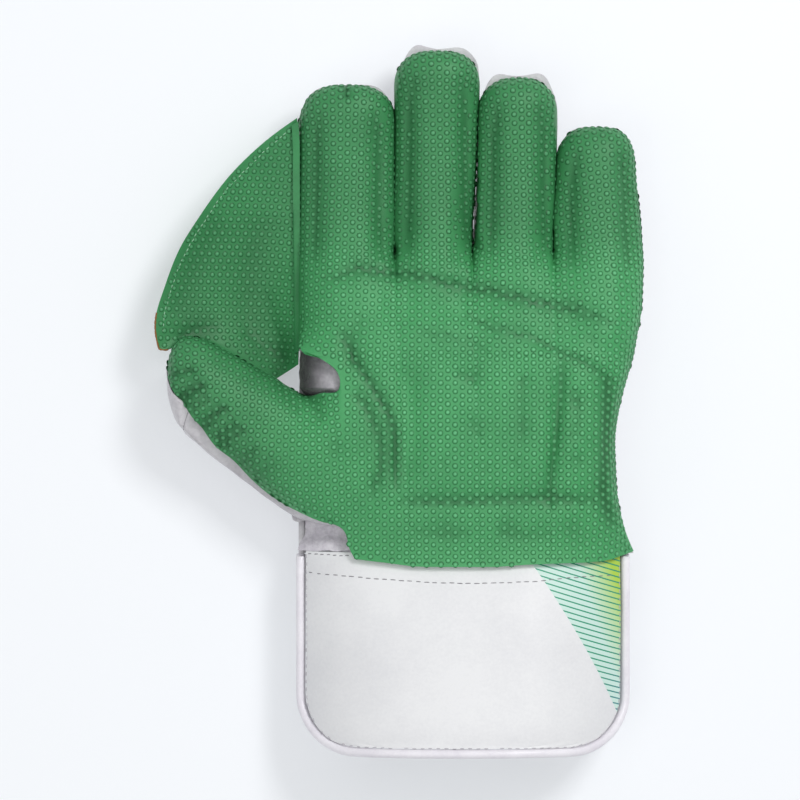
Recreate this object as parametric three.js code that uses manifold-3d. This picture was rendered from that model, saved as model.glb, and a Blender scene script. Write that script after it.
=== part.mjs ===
// A wicketkeeping glove for the left hand, lying on its back with the palm up.
// Millimetres. +X runs from the thumb side to the little finger, +Y from the cuff
// to the fingertips and +Z up from the floor. The functions work from the wrist seam
// at Y 0, and the whole glove is moved at the end so that the origin is where it rests.
import * as THREE from "three";
import { mergeVertices } from "three/addons/utils/BufferGeometryUtils.js";
import Module from "manifold-3d";

const wasm = await Module();
wasm.setup();

// Driving dimensions
const handLength = 232; // wrist seam to the tip of the middle finger
const handWidth = 155; // outer side of the index finger to that of the little finger
const handShift = 2.5; // the hand's middle sits this far from the cuff's middle
const thickness = 54; // palm, from the floor to the top of the facing
const facingWall = 2.4; // pimpled rubber on its leather backing
const backWall = 2.6; // padded leather of the hand's back
const gussetWall = 1.6; // single leather
const fingerGap = 0.8; // slit between two fingertips
const slitOpening = 12; // it opens over this length above the parting
const seamGap = 0.3; // clearance where two sewn pieces meet
const thumbReach = 62; // how far the thumb stands out from the index finger's side
const thumbWidth = 43; // across the thumb at its middle
const webReach = 66.5; // widest point of the web from the index finger's side
const webWall = 2.6;
const webSag = 9; // depth of the pocket that the web forms
const stripWidth = 3.2; // lap that sews the web to the index finger
const stripWall = 1.2;
const cuffLength = 90.5; // wrist seam to the mouth's piping
const cuffWidth = 153.6; // over the piping
const cuffTopHeight = 48.4; // the cuff's height at the wrist
const cuffMouthHeight = 64; // and at its mouth
const cuffWall = 4.6; // foam panel at its middle
const cuffEdgeWall = 2.2; // where it is pressed flat and sewn
const cuffCorner = 23; // radius of the rounded lower corners
const cuffFlat = 34; // half width of the flat that the cuff rests on
const pipingDiameter = 4.2;
const cuffTopY = 2.3; // the front panel's upper edge, under the facing
const backTopY = 0.9; // the back panel's upper edge, against the hand's back
const pipingTopY = -0.4;
const gussetRun = 9; // the wrist gusset narrows and dips over this length
const gussetDip = 3;
const webLap = 1.5; // the web meets the index finger this far above its side seam
const webLow = 0.38; // lower end of the web at the index finger, as a share of the hand
const webRows = 11;
const webColumns = 12;
const cuffColumns = [-1, -0.93, -0.82, -0.67, -0.46, -0.16, 0.16, 0.46, 0.67, 0.82, 0.93, 1];
const cuffRows = [0, 0.045, 0.11, 0.3, 0.5, 0.7, 0.8, 0.88, 0.94, 0.98, 1];
const grooveDepth = 1.8; // between the two rolls on each finger's back
const grooveStart = -0.086; // where that groove begins, from the parting up the hand
const grooveFull = 0.043; // and where it is at its full depth
const proudStart = 0.086; // where a finger's back begins to stand out past its facing
const proudFull = 0.194;

const restY = -38; // the origin: the middle of the flat under the cuff's back

const pipingRadius = pipingDiameter / 2;
const indexSide = handShift - handWidth / 2; // X of the index finger's outer side
const roundness = 2.4; // exponent of every padded section
const stripColumns = 8; // faces across each finger
const leastWall = 0.7; // a wall in a tight bend is never thinner
const leastShare = 0.12; // a face's inner side stays at least this large a share of its outer side
const thinningPasses = 14;
const thinningStep = 0.88;

// Landmarks up the hand, as shares of its length
const thumbOpening = 0.078; // lower end of the opening from the hand's back into the thumb
const thumbLow = 0.055; // where the facing's edge turns from the wrist to the thumb
const thumbTop = 0.328; // where the thumb's facing leaves the palm
const notchTop = 0.405; // top of the cut-out beside the thumb
const crotch = 0.612; // where the fingers part

// Left edge of the palm facing: beside the thumb, round the cut-out, then the index finger
const facingInnerSide = [
  { up: 0, across: 0.164 },
  { up: 0.0275, across: 0.144 },
  { up: 0.055, across: 0.131 },
  { up: 0.09, across: 0.133 },
  { up: 0.23, across: 0.129 },
  { up: 0.328, across: 0.119 },
  { up: 0.345, across: 0.119 },
  { up: 0.365, across: 0.113 },
  { up: 0.38, across: 0.088 },
  { up: 0.394, across: 0.054 },
  { up: 0.405, across: 0.006 },
  { up: 0.42, across: 0 },
  { up: 1, across: 0 },
];
// The same side of the leather back, which runs straight down to the wrist
const backInnerSide = [
  { up: 0, across: -0.004 },
  { up: 0.2, across: -0.006 },
  { up: 0.4, across: -0.002 },
  { up: 0.45, across: 0 },
  { up: 1, across: 0 },
];
const indexMiddle = [
  { up: 0, across: 0.335 },
  { up: 0.3, across: 0.3 },
  { up: 0.612, across: 0.281 },
  { up: 1, across: 0.283 },
];
const middleRing = [
  { up: 0, across: 0.53 },
  { up: 0.612, across: 0.512 },
  { up: 0.776, across: 0.524 },
  { up: 1, across: 0.534 },
];
const ringLittle = [
  { up: 0, across: 0.745 },
  { up: 0.612, across: 0.752 },
  { up: 0.776, across: 0.761 },
  { up: 1, across: 0.763 },
];
const outerSide = [
  { up: 0, across: 0.992 },
  { up: 0.04, across: 0.968 },
  { up: 0.09, across: 0.95 },
  { up: 0.15, across: 0.938 },
  { up: 0.23, across: 0.935 },
  { up: 0.3, across: 0.95 },
  { up: 0.36, across: 0.975 },
  { up: 0.42, across: 0.997 },
  { up: 0.51, across: 1.018 },
  { up: 0.577, across: 1.022 },
  { up: 0.64, across: 1.017 },
  { up: 0.776, across: 0.999 },
  { up: 1, across: 0.99 },
];

// Height of the side seam, and of the front above it and the back below it,
// as shares of the thickness. The fingertips curl up from the floor.
const heights = [
  { up: 0, seam: 0.481, front: 0.478, back: 0.474 },
  { up: 0.1, seam: 0.474, front: 0.5, back: 0.471 },
  { up: 0.25, seam: 0.463, front: 0.519, back: 0.463 },
  { up: 0.42, seam: 0.426, front: 0.487, back: 0.426 },
  { up: 0.56, seam: 0.38, front: 0.41, back: 0.38 },
  { up: 0.612, seam: 0.363, front: 0.374, back: 0.361 },
  { up: 0.75, seam: 0.38, front: 0.34, back: 0.345 },
  { up: 0.88, seam: 0.452, front: 0.318, back: 0.326 },
  { up: 1, seam: 0.56, front: 0.3, back: 0.308 },
];

// Tips as shares of the hand's length. Square is the exponent of a tip's outline. The
// lobes are how far the leather back shows past the facing, left and right of each tip,
// as shares of the finger's width.
const fingers = [
  { name: "index", tip: 0.934, blunt: 0.46, square: 2.9, lobeLeft: 0.01, lobeRight: 0.03, proud: 0 },
  { name: "middle", tip: 1, blunt: 0.52, square: 2.95, lobeLeft: 0.08, lobeRight: 0.08, proud: 0.014 },
  { name: "ring", tip: 0.948, blunt: 0.5, square: 2.6, lobeLeft: 0.06, lobeRight: 0.08, proud: 0.022 },
  { name: "little", tip: 0.852, blunt: 0.55, square: 3, lobeLeft: 0.012, lobeRight: 0.012, proud: 0 },
];

// The thumb's sections. Out is a share of its reach, up of the hand's length, half of
// the thumb's width, and the heights of the thickness. Turn is the section's direction
// in degrees, and edge is how far down the side the facing reaches, as a share of half.
const thumbSections = [
  { along: 0, out: 0.13, up: 0.222, half: 0.6, turn: 79, rise: 0.48, front: 0.41, back: 0.38, edge: 0.95 },
  { along: 0.2, out: 0.31, up: 0.254, half: 0.55, turn: 71, rise: 0.49, front: 0.4, back: 0.36, edge: 0.9 },
  { along: 0.5, out: 0.59, up: 0.303, half: 0.51, turn: 69, rise: 0.53, front: 0.38, back: 0.34, edge: 0.76 },
  { along: 0.74, out: 0.79, up: 0.342, half: 0.48, turn: 73, rise: 0.57, front: 0.35, back: 0.31, edge: 0.56 },
  { along: 1, out: 0.985, up: 0.378, half: 0.45, turn: 84, rise: 0.6, front: 0.32, back: 0.28, edge: 0.5 },
];
const thumbRoundFrom = 0.66; // share of the thumb's length where its tip starts to close
const thumbCapSeam = 0.7; // seam of the leather cap on the thumb's tip

// Columns of the thumb's leather round its section, from the web's side over the back.
// Those with a start begin along the hand's side, at that share of the opening there.
// Toward is a share of the way on to the facing's edge. The last two are measured from
// that edge, which laps over them.
const thumbLeather = [
  { turn: 359.5, grow: 0, start: 1 },
  { turn: 338, grow: 0, start: 0.95 },
  { turn: 315, grow: 0, start: 0.86 },
  { turn: 292, grow: 0, start: 0.72 },
  { turn: 270, grow: 0, start: 0.52 },
  { turn: 247, grow: 0, start: 0.28 },
  { turn: 224, grow: 0.2, start: 0 },
  { turn: 203, grow: 0.6 },
  { turn: 184, grow: 0.9 },
  { turn: 184, grow: 0.7, toward: 0.45 },
  { lap: 3, grow: -2.9 },
  { lap: -5, grow: -3 },
];
const sideColumns = thumbLeather.filter((column) => column.start > 0).length;

// The web's free edge. Out is a share of the web's reach, up of the hand's length.
const webEdge = [
  { out: 0.02, up: 0.868, rise: 0.6 },
  { out: 0.242, up: 0.821, rise: 0.62 },
  { out: 0.489, up: 0.752, rise: 0.63 },
  { out: 0.687, up: 0.675, rise: 0.63 },
  { out: 0.835, up: 0.606, rise: 0.63 },
  { out: 0.934, up: 0.533, rise: 0.62 },
  { out: 1, up: 0.468, rise: 0.61 },
  { out: 0.993, up: 0.436, rise: 0.6 },
  { out: 0.962, up: 0.406, rise: 0.57 },
];

// Lower edge of the palm facing across the wrist, as shares of the hand's length
const facingHem = [
  { across: 0, drop: 0.003 },
  { across: 0.16, drop: -0.003 },
  { across: 0.25, drop: -0.009 },
  { across: 0.36, drop: -0.0175 },
  { across: 0.55, drop: -0.0175 },
  { across: 0.7, drop: -0.0125 },
  { across: 0.9, drop: -0.008 },
  { across: 0.96, drop: 0.003 },
  { across: 1, drop: 0.011 },
];

// Folds pressed into the palm. Each runs between two points, across and up the hand,
// bowed by a share of its length, with its depth and width in shares of the thickness.
const palmFolds = [
  { fromAcross: 0.05, fromUp: 0.46, toAcross: 0.98, toUp: 0.39, bow: 0.1, depth: 0.05, width: 0.085 },
  { fromAcross: 0.31, fromUp: 0.37, toAcross: 0.31, toUp: 0.13, bow: 0.05, depth: 0.05, width: 0.1 },
  { fromAcross: 0.36, fromUp: 0.115, toAcross: 0.95, toUp: 0.11, bow: 0, depth: 0.045, width: 0.075 },
  { fromAcross: 0.77, fromUp: 0.36, toAcross: 0.75, toUp: 0.13, bow: -0.03, depth: 0.03, width: 0.075 },
  { fromAcross: 0.9, fromUp: 0.38, toAcross: 0.86, toUp: 0.04, bow: -0.04, depth: 0.04, width: 0.1 },
];
// The fold along both sides of each finger's front: how deep, how far to the side, how
// wide, where it begins below the parting and how far it ends below the tip.
const flankFold = { depth: 0.026, side: 0.7, width: 0.16, below: 0.215, full: 0.043, tip: 0.138, end: 0.034 };
// Gathers along the thumb's sewn edge: where each lies, how deep and how wide
const thumbGathers = [
  { along: 0.77, depth: 0.04, width: 0.035 },
  { along: 0.55, depth: 0.035, width: 0.035 },
  { along: 0.28, depth: 0.025, width: 0.035 },
];

const smooth = THREE.MathUtils.smoothstep;
const lerp = THREE.MathUtils.lerp;
const acrossToX = (share) => indexSide + share * handWidth;

// A smooth curve through one column of a table, with no overshoot between its rows.
function through(table, key, column) {
  const at = table.map((row) => row[key]);
  const value = table.map((row) => row[column]);
  const last = at.length - 1;
  const step = at.slice(1).map((a, i) => (value[i + 1] - value[i]) / (a - at[i]));
  const slope = value.map((_, i) => {
    if (i === 0 || i === last) return step[Math.min(i, last - 1)];
    if (step[i - 1] * step[i] <= 0) return 0;
    return (2 * step[i - 1] * step[i]) / (step[i - 1] + step[i]);
  });
  return (x) => {
    const clamped = Math.min(Math.max(x, at[0]), at[last]);
    const i = Math.max(0, Math.min(last - 1, at.findIndex((a) => a > clamped) - 1));
    const k = clamped >= at[last] ? last - 1 : i;
    const span = at[k + 1] - at[k];
    const t = (clamped - at[k]) / span;
    const rise = value[k + 1] - value[k];
    const bend = (slope[k] + slope[k + 1]) * span - 2 * rise;
    const turn = 3 * rise - (2 * slope[k] + slope[k + 1]) * span;
    return value[k] + slope[k] * span * t + turn * t * t + bend * t * t * t;
  };
}

// A rounded half section: 1 at the middle of a finger and 0 at its sides.
const dome = (t, power = roundness) => Math.pow(Math.max(0, 1 - Math.pow(Math.abs(t), power)), 1 / power);

const hem = through(facingHem, "across", "drop");
const seamAt = through(heights, "up", "seam");
const frontAt = through(heights, "up", "front");
const backAt = through(heights, "up", "back");

// Skins: a sheet is made of patches of points, welded where they meet, and
// gets its thickness on the inner side.

function newSheet() {
  return { points: [], faces: [], places: new Map() };
}

function addPoint(sheet, point) {
  const key = [point.x, point.y, point.z].map((v) => Math.round(v * 1e4)).join(",");
  if (!sheet.places.has(key)) {
    sheet.places.set(key, sheet.points.length);
    sheet.points.push(point);
  }
  return sheet.places.get(key);
}

// Adds a grid of faces over pointAt(row, column), turned so that they face out.
function addPatch(sheet, rows, columns, pointAt, flipped = false) {
  const index = [];
  for (let r = 0; r <= rows; r++) {
    index.push([]);
    for (let c = 0; c <= columns; c++) index[r].push(addPoint(sheet, pointAt(r, c)));
  }
  for (let r = 0; r < rows; r++)
    for (let c = 0; c < columns; c++) {
      const [a, b] = [index[r][c], index[r][c + 1]];
      const [d, e] = [index[r + 1][c], index[r + 1][c + 1]];
      const pair = (r + c) % 2 ? [[a, b, e], [a, e, d]] : [[a, b, d], [b, e, d]];
      for (const face of pair) {
        if (new Set(face).size < 3) continue;
        sheet.faces.push(flipped ? [face[0], face[2], face[1]] : face);
      }
    }
}

// Where the inner side of a wall would fold over itself, in a tight bend or a narrow
// valley, the wall is thinned until it no longer does.
function thinnedWalls(sheet, inward, wall) {
  const walls = sheet.points.map((p) => p.wall ?? wall);
  const innerAt = (i) => sheet.points[i].clone().addScaledVector(inward[i], walls[i]);
  for (let pass = 0; pass < thinningPasses; pass++) {
    const tight = new Set();
    for (const face of sheet.faces) {
      const [a, b, c] = face.map((i) => sheet.points[i]);
      const [d, e, f] = face.map(innerAt);
      const outer = b.clone().sub(a).cross(c.clone().sub(a));
      const inner = e.clone().sub(d).cross(f.clone().sub(d));
      if (inner.dot(outer) < leastShare * outer.lengthSq()) face.forEach((i) => tight.add(i));
    }
    for (const i of tight) walls[i] = Math.max(walls[i] * thinningStep, leastWall);
  }
  return walls;
}

// Closes a sheet into a solid wall. A point's own inward direction and wall win
// over the averaged normal and the sheet's wall.
function wallGeometry(sheet, wall) {
  const normals = sheet.points.map(() => new THREE.Vector3());
  const edges = new Map();
  for (const [a, b, c] of sheet.faces) {
    const ab = sheet.points[b].clone().sub(sheet.points[a]);
    const ac = sheet.points[c].clone().sub(sheet.points[a]);
    const normal = ab.cross(ac);
    for (const i of [a, b, c]) normals[i].add(normal);
    for (const [i, j] of [[a, b], [b, c], [c, a]]) {
      const back = `${j},${i}`;
      if (edges.has(back)) edges.delete(back);
      else edges.set(`${i},${j}`, [i, j]);
    }
  }
  const rim = new Set([...edges.values()].flat());
  const inward = sheet.points.map((p, i) => {
    if (p.inward) return p.inward;
    const direction = normals[i].clone().normalize().negate();
    if (rim.has(i) && p.rim === "side") direction.setZ(0).normalize();
    if (rim.has(i) && p.rim === "end") direction.setY(0).normalize();
    if (rim.has(i) && p.rim === "corner") direction.set(Math.sign(direction.x), 0, 0);
    return direction;
  });
  const walls = thinnedWalls(sheet, inward, wall);
  const position = [];
  for (const p of sheet.points) position.push(p.x, p.y, p.z);
  sheet.points.forEach((p, i) => {
    const inner = p.clone().addScaledVector(inward[i], walls[i]);
    position.push(inner.x, inner.y, inner.z);
  });
  const n = sheet.points.length;
  const faces = sheet.faces.flatMap(([a, b, c]) => [a, b, c, a + n, c + n, b + n]);
  for (const [i, j] of edges.values()) faces.push(j, i, i + n, j, i + n, j + n);
  const geometry = new THREE.BufferGeometry();
  geometry.setAttribute("position", new THREE.Float32BufferAttribute(position, 3));
  geometry.setIndex(faces);
  return geometry;
}

// Solids: only for cutting a wall into the pieces it is sewn from

function toSolid(geometry) {
  const plain = geometry.clone();
  plain.deleteAttribute("normal");
  plain.deleteAttribute("uv");
  const merged = mergeVertices(plain, 1e-4);
  return new wasm.Manifold(
    new wasm.Mesh({
      numProp: 3,
      vertProperties: merged.attributes.position.array,
      triVerts: new Uint32Array(merged.index.array),
    }),
  );
}

function toGeometry(solid) {
  const mesh = solid.getMesh();
  const position = new Float32Array(mesh.numVert * 3);
  for (let i = 0; i < mesh.numVert; i++)
    for (let k = 0; k < 3; k++) position[i * 3 + k] = mesh.vertProperties[i * mesh.numProp + k];
  const geometry = new THREE.BufferGeometry();
  geometry.setAttribute("position", new THREE.BufferAttribute(position, 3));
  geometry.setIndex(new THREE.BufferAttribute(new Uint32Array(mesh.triVerts), 1));
  return geometry;
}

// Cuts a geometry with a thin box and gives the parts left, sorted along X.
function partsAfterCut(geometry, cutter) {
  const parts = toSolid(geometry).subtract(toSolid(cutter)).decompose();
  const middle = (part) => {
    const { min, max } = part.boundingBox();
    return (min[0] + max[0]) / 2;
  };
  return parts.sort((a, b) => middle(a) - middle(b)).map(toGeometry);
}

// The hand: four finger strips side by side, joined below the crotch.
// Front and back share this plan and differ in their sides, heights and tips.

const dividers = [indexMiddle, middleRing, ringLittle].map((t) => through(t, "up", "across"));
const outer = through(outerSide, "up", "across");

function sidesOf(innerSide) {
  const columns = [through(innerSide, "up", "across"), ...dividers, outer];
  return columns.map((column) => (y) => acrossToX(column(y / handLength)));
}

// How full the section stays at a shared side, by the distance below the parting.
function fullness(below) {
  if (below <= 0) return 0;
  return (1 - Math.exp(-below / 7)) * (1 - 0.1 * Math.exp(-below / 30));
}

const crotchY = crotch * handLength;
const facingRows = [0, 0.0275, thumbLow, 0.09, 0.13, 0.17, 0.21, 0.25, 0.29, thumbTop]
  .concat([0.362, 0.38, 0.394, 0.407, 0.45, 0.5, 0.55, 0.585, crotch]);
const backRows = [0, 0.03, 0.075, 0.125, 0.175, 0.225, 0.275, thumbTop]
  .concat([0.37, 0.42, 0.47, 0.51, 0.55, 0.585, crotch]);
const straightRows = 5;
const roundRows = 5;

// Rows of one finger above the crotch, each with its height up the hand and its
// width as a share, which closes to nothing at the tip.
function fingerRows(finger, width) {
  const tipY = finger.tip * handLength;
  const roundY = tipY - finger.blunt * width;
  const rows = [];
  for (let i = 1; i <= straightRows; i++)
    rows.push({ y: lerp(crotchY, roundY, i / straightRows), share: 1 });
  for (let i = 1; i <= roundRows; i++) {
    const angle = ((i / roundRows) * Math.PI) / 2;
    const height = Math.sin(angle);
    rows.push({ y: lerp(roundY, tipY, height), share: i === roundRows ? 0 : dome(height, finger.square) });
  }
  return rows;
}

// Depth of the folds pressed into the palm at a point.
function foldDepth(x, y) {
  let depth = 0;
  for (const fold of palmFolds) {
    const from = new THREE.Vector2(acrossToX(fold.fromAcross), fold.fromUp * handLength);
    const to = new THREE.Vector2(acrossToX(fold.toAcross), fold.toUp * handLength);
    const run = to.clone().sub(from);
    const length = run.length();
    const offset = new THREE.Vector2(x, y).sub(from);
    const t = offset.dot(run) / (length * length);
    const side = offset.cross(run) / length + fold.bow * length * 4 * t * (1 - t);
    const ends = smooth(t, -0.08, 0.12) * (1 - smooth(t, 0.88, 1.08));
    depth += fold.depth * thickness * ends * Math.exp(-((side / (fold.width * thickness)) ** 2));
  }
  return depth;
}

// A point on the hand's front (face 1) or back (face -1).
function handPoint(face, sides, strip, t, y, share, innerFullness) {
  const up = y / handLength;
  const slit = y > crotchY ? (fingerGap / 2) * smooth(y, crotchY, crotchY + slitOpening) : 0;
  const left = sides[strip](y) + (strip > 0 ? slit : 0);
  const right = sides[strip + 1](y) - (strip < 3 ? slit : 0);
  const half = (right - left) / 2;
  const x = (left + right) / 2 + half * share * t;
  const below = crotchY - y;
  const leftFull = strip === 0 ? innerFullness(y) : fullness(below);
  const rightFull = strip === 3 ? 0 : fullness(below);
  const full = t < 0 ? leftFull : rightFull;
  const section = 1 - (1 - full) * (1 - dome(t));
  const crown = 1 - 0.07 * smooth(below, 0, 60) * ((x - handShift) / (handWidth / 2)) ** 2;
  const seam = seamAt(up) * thickness + (face * seamGap) / 2;
  const reach = (face > 0 ? frontAt(up) : backAt(up)) * thickness;
  let height = reach * section * crown * share;
  if (face > 0) height -= foldDepth(x, y) * section * share;
  const edge = full === 0 && Math.abs(t) === 1;
  const point = new THREE.Vector3(x, y, seam + face * height);
  if (edge || share === 0) point.rim = "side";
  const parting = y === crotchY && (t === -1 ? strip > 0 : t === 1 && strip < 3);
  if (parting) point.inward = new THREE.Vector3(0, -1, 0);
  return point;
}

const columnAt = (c) => -Math.cos((Math.PI * c) / stripColumns);

function addHand(sheet, face, palmRows, innerSide, innerFullness, reshape) {
  const sides = sidesOf(innerSide);
  fingers.forEach((finger, strip) => {
    const width = sides[strip + 1](crotchY) - sides[strip](crotchY);
    const rows = palmRows
      .map((up) => ({ y: up * handLength, share: 1 }))
      .concat(fingerRows(finger, width));
    const pointAt = (r, c) => {
      const t = Math.abs(columnAt(c)) < 1e-9 ? 0 : columnAt(c);
      const { y, share } = rows[r];
      const point = handPoint(face, sides, strip, t, y, share, innerFullness);
      return reshape(point, { finger, strip, t, y, share, row: r, width, sides });
    };
    addPatch(sheet, rows.length - 1, stripColumns, pointAt, face < 0);
  });
}

// The thumb: sections across its own axis, between the palm's edge and the tip

const thumbColumn = Object.fromEntries(
  ["out", "up", "half", "turn", "rise", "front", "back", "edge"].map((name) => [
    name,
    through(thumbSections, "along", name),
  ]),
);

// A point on the thumb at an angle round its section: 0 is the web's side,
// 90 the front, 180 the free side and 270 the back. Grow moves it off the skin.
function thumbPoint(along, angle, grow = 0) {
  const centre = new THREE.Vector3(
    indexSide - thumbColumn.out(along) * thumbReach,
    thumbColumn.up(along) * handLength,
    thumbColumn.rise(along) * thickness,
  );
  const turn = THREE.MathUtils.degToRad(thumbColumn.turn(along));
  const across = new THREE.Vector3(Math.cos(turn), Math.sin(turn), 0);
  const closing = Math.max(0, (along - thumbRoundFrom) / (1 - thumbRoundFrom));
  const close = dome(closing);
  const half = thumbColumn.half(along) * thumbWidth * close + grow;
  const c = Math.cos(THREE.MathUtils.degToRad(angle));
  const s = Math.sin(THREE.MathUtils.degToRad(angle));
  const reach = s > 0 ? thumbColumn.front(along) : thumbColumn.back(along);
  const height = reach * thickness * close + grow;
  const power = 2 / roundness;
  const rounded = (v) => Math.sign(v) * Math.pow(Math.abs(v), power);
  const point = centre.clone().addScaledVector(across, half * rounded(c));
  point.z += height * rounded(s);
  const slanted = (v) => Math.sign(v) * Math.pow(Math.abs(v), 2 - power);
  const flat = across.clone().multiplyScalar(slanted(c) / (half || 1));
  flat.z = slanted(s) / (height || 1);
  point.inward = flat.normalize().negate();
  return point;
}

// Angle round the thumb at which the facing ends on the free side.
function thumbSeamAngle(along) {
  return 180 - THREE.MathUtils.radToDeg(Math.acos(Math.pow(thumbColumn.edge(along), roundness / 2)));
}

// Curves from a point on the palm's edge to one on the thumb's first section.
function bridge(from, fromDirection, to, toDirection, t) {
  const reach = from.distanceTo(to);
  const point = new THREE.Vector3();
  const [t2, t3] = [t * t, t * t * t];
  point.addScaledVector(from, 2 * t3 - 3 * t2 + 1);
  point.addScaledVector(fromDirection, (t3 - 2 * t2 + t) * reach);
  point.addScaledVector(to, 3 * t2 - 2 * t3);
  point.addScaledVector(toDirection, (t3 - t2) * reach);
  return point;
}

// The thumb's very tip, whose wall goes straight in.
function poleOf(point) {
  delete point.inward;
  point.rim = "side";
  return point;
}

const bridgeRows = 4;
const cornerThinning = 0.7; // the leather is cut this much thinner at the thumb's lower corner
const thumbAlong = [0, 0.14, 0.28, 0.42, 0.55, 0.66, 0.77, 0.87, 0.95, 1];

// The facing

const facingRest = 72.6; // the facing lies on the cuff up to here and then turns down
const outerEdge = acrossToX(outerSide[0].across);
const notchFullness = (y) => (y < notchTop * handLength + 1 ? 1 : 0);

const facingSides = sidesOf(facingInnerSide);
const gathersAt = (along) =>
  thumbGathers.reduce(
    (sum, g) => sum + g.depth * thickness * Math.exp(-(((along - g.along) / g.width) ** 2)),
    0,
  );

// Height at which the facing lies on the cuff, falling off at the hand's sides.
function facingOverCuff(x, y) {
  const reach = Math.min(Math.abs(x), facingRest);
  const slope = cuffHeight(1, reach - 1, 0) - cuffHeight(1, reach, 0);
  const lift = (facingWall + 2 * seamGap) * Math.hypot(1, slope) + panelWall(reach, Math.min(y, 0)) / 2;
  const top = cuffHeight(1, reach, Math.min(y, 0)) + lift + seamGap;
  const seam = sideSeamZ + seamGap / 2;
  return lerp(top, seam, Math.max(0, Math.abs(x) - facingRest) / (outerEdge - facingRest));
}

function palmFacing() {
  const sheet = newSheet();
  const lowRows = facingRows.filter((up) => up >= thumbLow && up <= thumbTop);
  const hemRise = (point, y) => {
    const across = (point.x - indexSide) / handWidth;
    return hem(across) * handLength * (1 - smooth(y, 0, 30));
  };
  const reshape = (point, at) => {
    point.y += hemRise(point, at.y);
    point.z = lerp(facingOverCuff(point.x, point.y), point.z, smooth(at.y, 2, 34));
    if (at.row === 0) point.rim = at.strip === 3 && at.t === 1 ? "corner" : "end";
    const flank = Math.exp(-(((Math.abs(at.t) - flankFold.side) / flankFold.width) ** 2));
    const up = at.y / handLength;
    const risen = smooth(up, crotch - flankFold.below, crotch - flankFold.full);
    const ended = smooth(up, at.finger.tip - flankFold.tip, at.finger.tip - flankFold.end);
    point.z -= flankFold.depth * thickness * flank * risen * (1 - ended);
    return point;
  };
  addHand(sheet, 1, facingRows, facingInnerSide, notchFullness, reshape);

  const edge = lowRows.map((up) => {
    const y = up * handLength;
    const point = handPoint(1, facingSides, 0, -1, y, 1, notchFullness);
    return reshape(point, { finger: fingers[0], strip: 0, t: -1, y, row: 1 });
  });
  const columns = lowRows.length - 1;
  const pointAt = (r, c) => {
    const base = edge[columns - c];
    if (r === 0) return base;
    const v = c / columns;
    const along = thumbAlong[Math.max(0, r - bridgeRows)];
    const point = thumbPoint(along, lerp(0, thumbSeamAngle(along), v));
    if (r < bridgeRows) {
      const low = smooth(v, 0.55, 1);
      const leave = new THREE.Vector3(-1, lerp(0, 0.35, low), 0);
      const arrive = thumbPoint(0.1, 90).sub(thumbPoint(0, 90)).setZ(0).normalize();
      return bridge(base, leave, point, arrive, r / bridgeRows);
    }
    if (along < 1 && c > 0) {
      const sewn = smooth(v, 0.45, 0.95);
      point.addScaledVector(point.inward, gathersAt(along) * sewn);
    }
    if (c > 0 && c < columns) delete point.inward;
    return along === 1 ? poleOf(point) : point;
  };
  addPatch(sheet, bridgeRows + thumbAlong.length - 1, columns, pointAt, true);
  return wallGeometry(sheet, facingWall);
}

// The leather back, sewn from the hand's back, four finger backs and the thumb's two

const backSides = sidesOf(backInnerSide);
const thumbLowY = thumbOpening * handLength;
const thumbHighY = thumbTop * handLength;
const openRows = backRows.filter((up) => up * handLength >= thumbLowY - 3 && up <= thumbTop);

// How far down the side the back is cut away to open into the thumb.
function backFullness(y) {
  const low = openRows[0] * handLength;
  const high = openRows.at(-1) * handLength;
  if (y <= low || y >= high) return 0;
  return 0.92 * Math.sqrt(Math.sin((Math.PI * (y - low)) / (high - low)));
}

function backShape(point, at) {
  const up = at.y / handLength;
  const rolled = Math.exp(-((at.t / 0.2) ** 2)) * smooth(up, crotch + grooveStart, crotch + grooveFull);
  point.z += grooveDepth * rolled * at.share;
  const tipY = at.finger.tip * handLength;
  const near = smooth(at.y, tipY - at.width * 0.6, tipY);
  const centre = (at.sides[at.strip](at.y) + at.sides[at.strip + 1](at.y)) / 2;
  const across = ((point.x - centre) / at.width) * 2;
  const left = at.finger.lobeLeft * Math.exp(-(((across + 0.42) / 0.32) ** 2));
  const right = at.finger.lobeRight * Math.exp(-(((across - 0.55) / 0.34) ** 2));
  point.y += at.width * (left + right) * near;
  const above = smooth(up, crotch + proudStart, crotch + proudFull);
  point.x += at.finger.proud * at.width * above * smooth(across, 0.2, 0.9) * (1 - near * 0.6);
  const side = at.t === -1 ? at.strip === 0 : at.t === 1 && at.strip === 3;
  if (at.row === 0) point.rim = side ? "corner" : "end";
  return point;
}

function handBacks() {
  const sheet = newSheet();
  const lift = (point, at) => {
    const shaped = backShape(point, at);
    shaped.y += seamGap * 4 * (1 - smooth(at.y, 0, 12));
    shaped.z = Math.max(shaped.z, 0);
    return shaped;
  };
  addHand(sheet, -1, backRows, backInnerSide, backFullness, lift);
  const cutter = new THREE.BoxGeometry(handWidth * 2, seamGap, thickness * 3);
  cutter.translate(0, crotchY + 1.2, 0);
  return partsAfterCut(wallGeometry(sheet, backWall), cutter);
}

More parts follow.
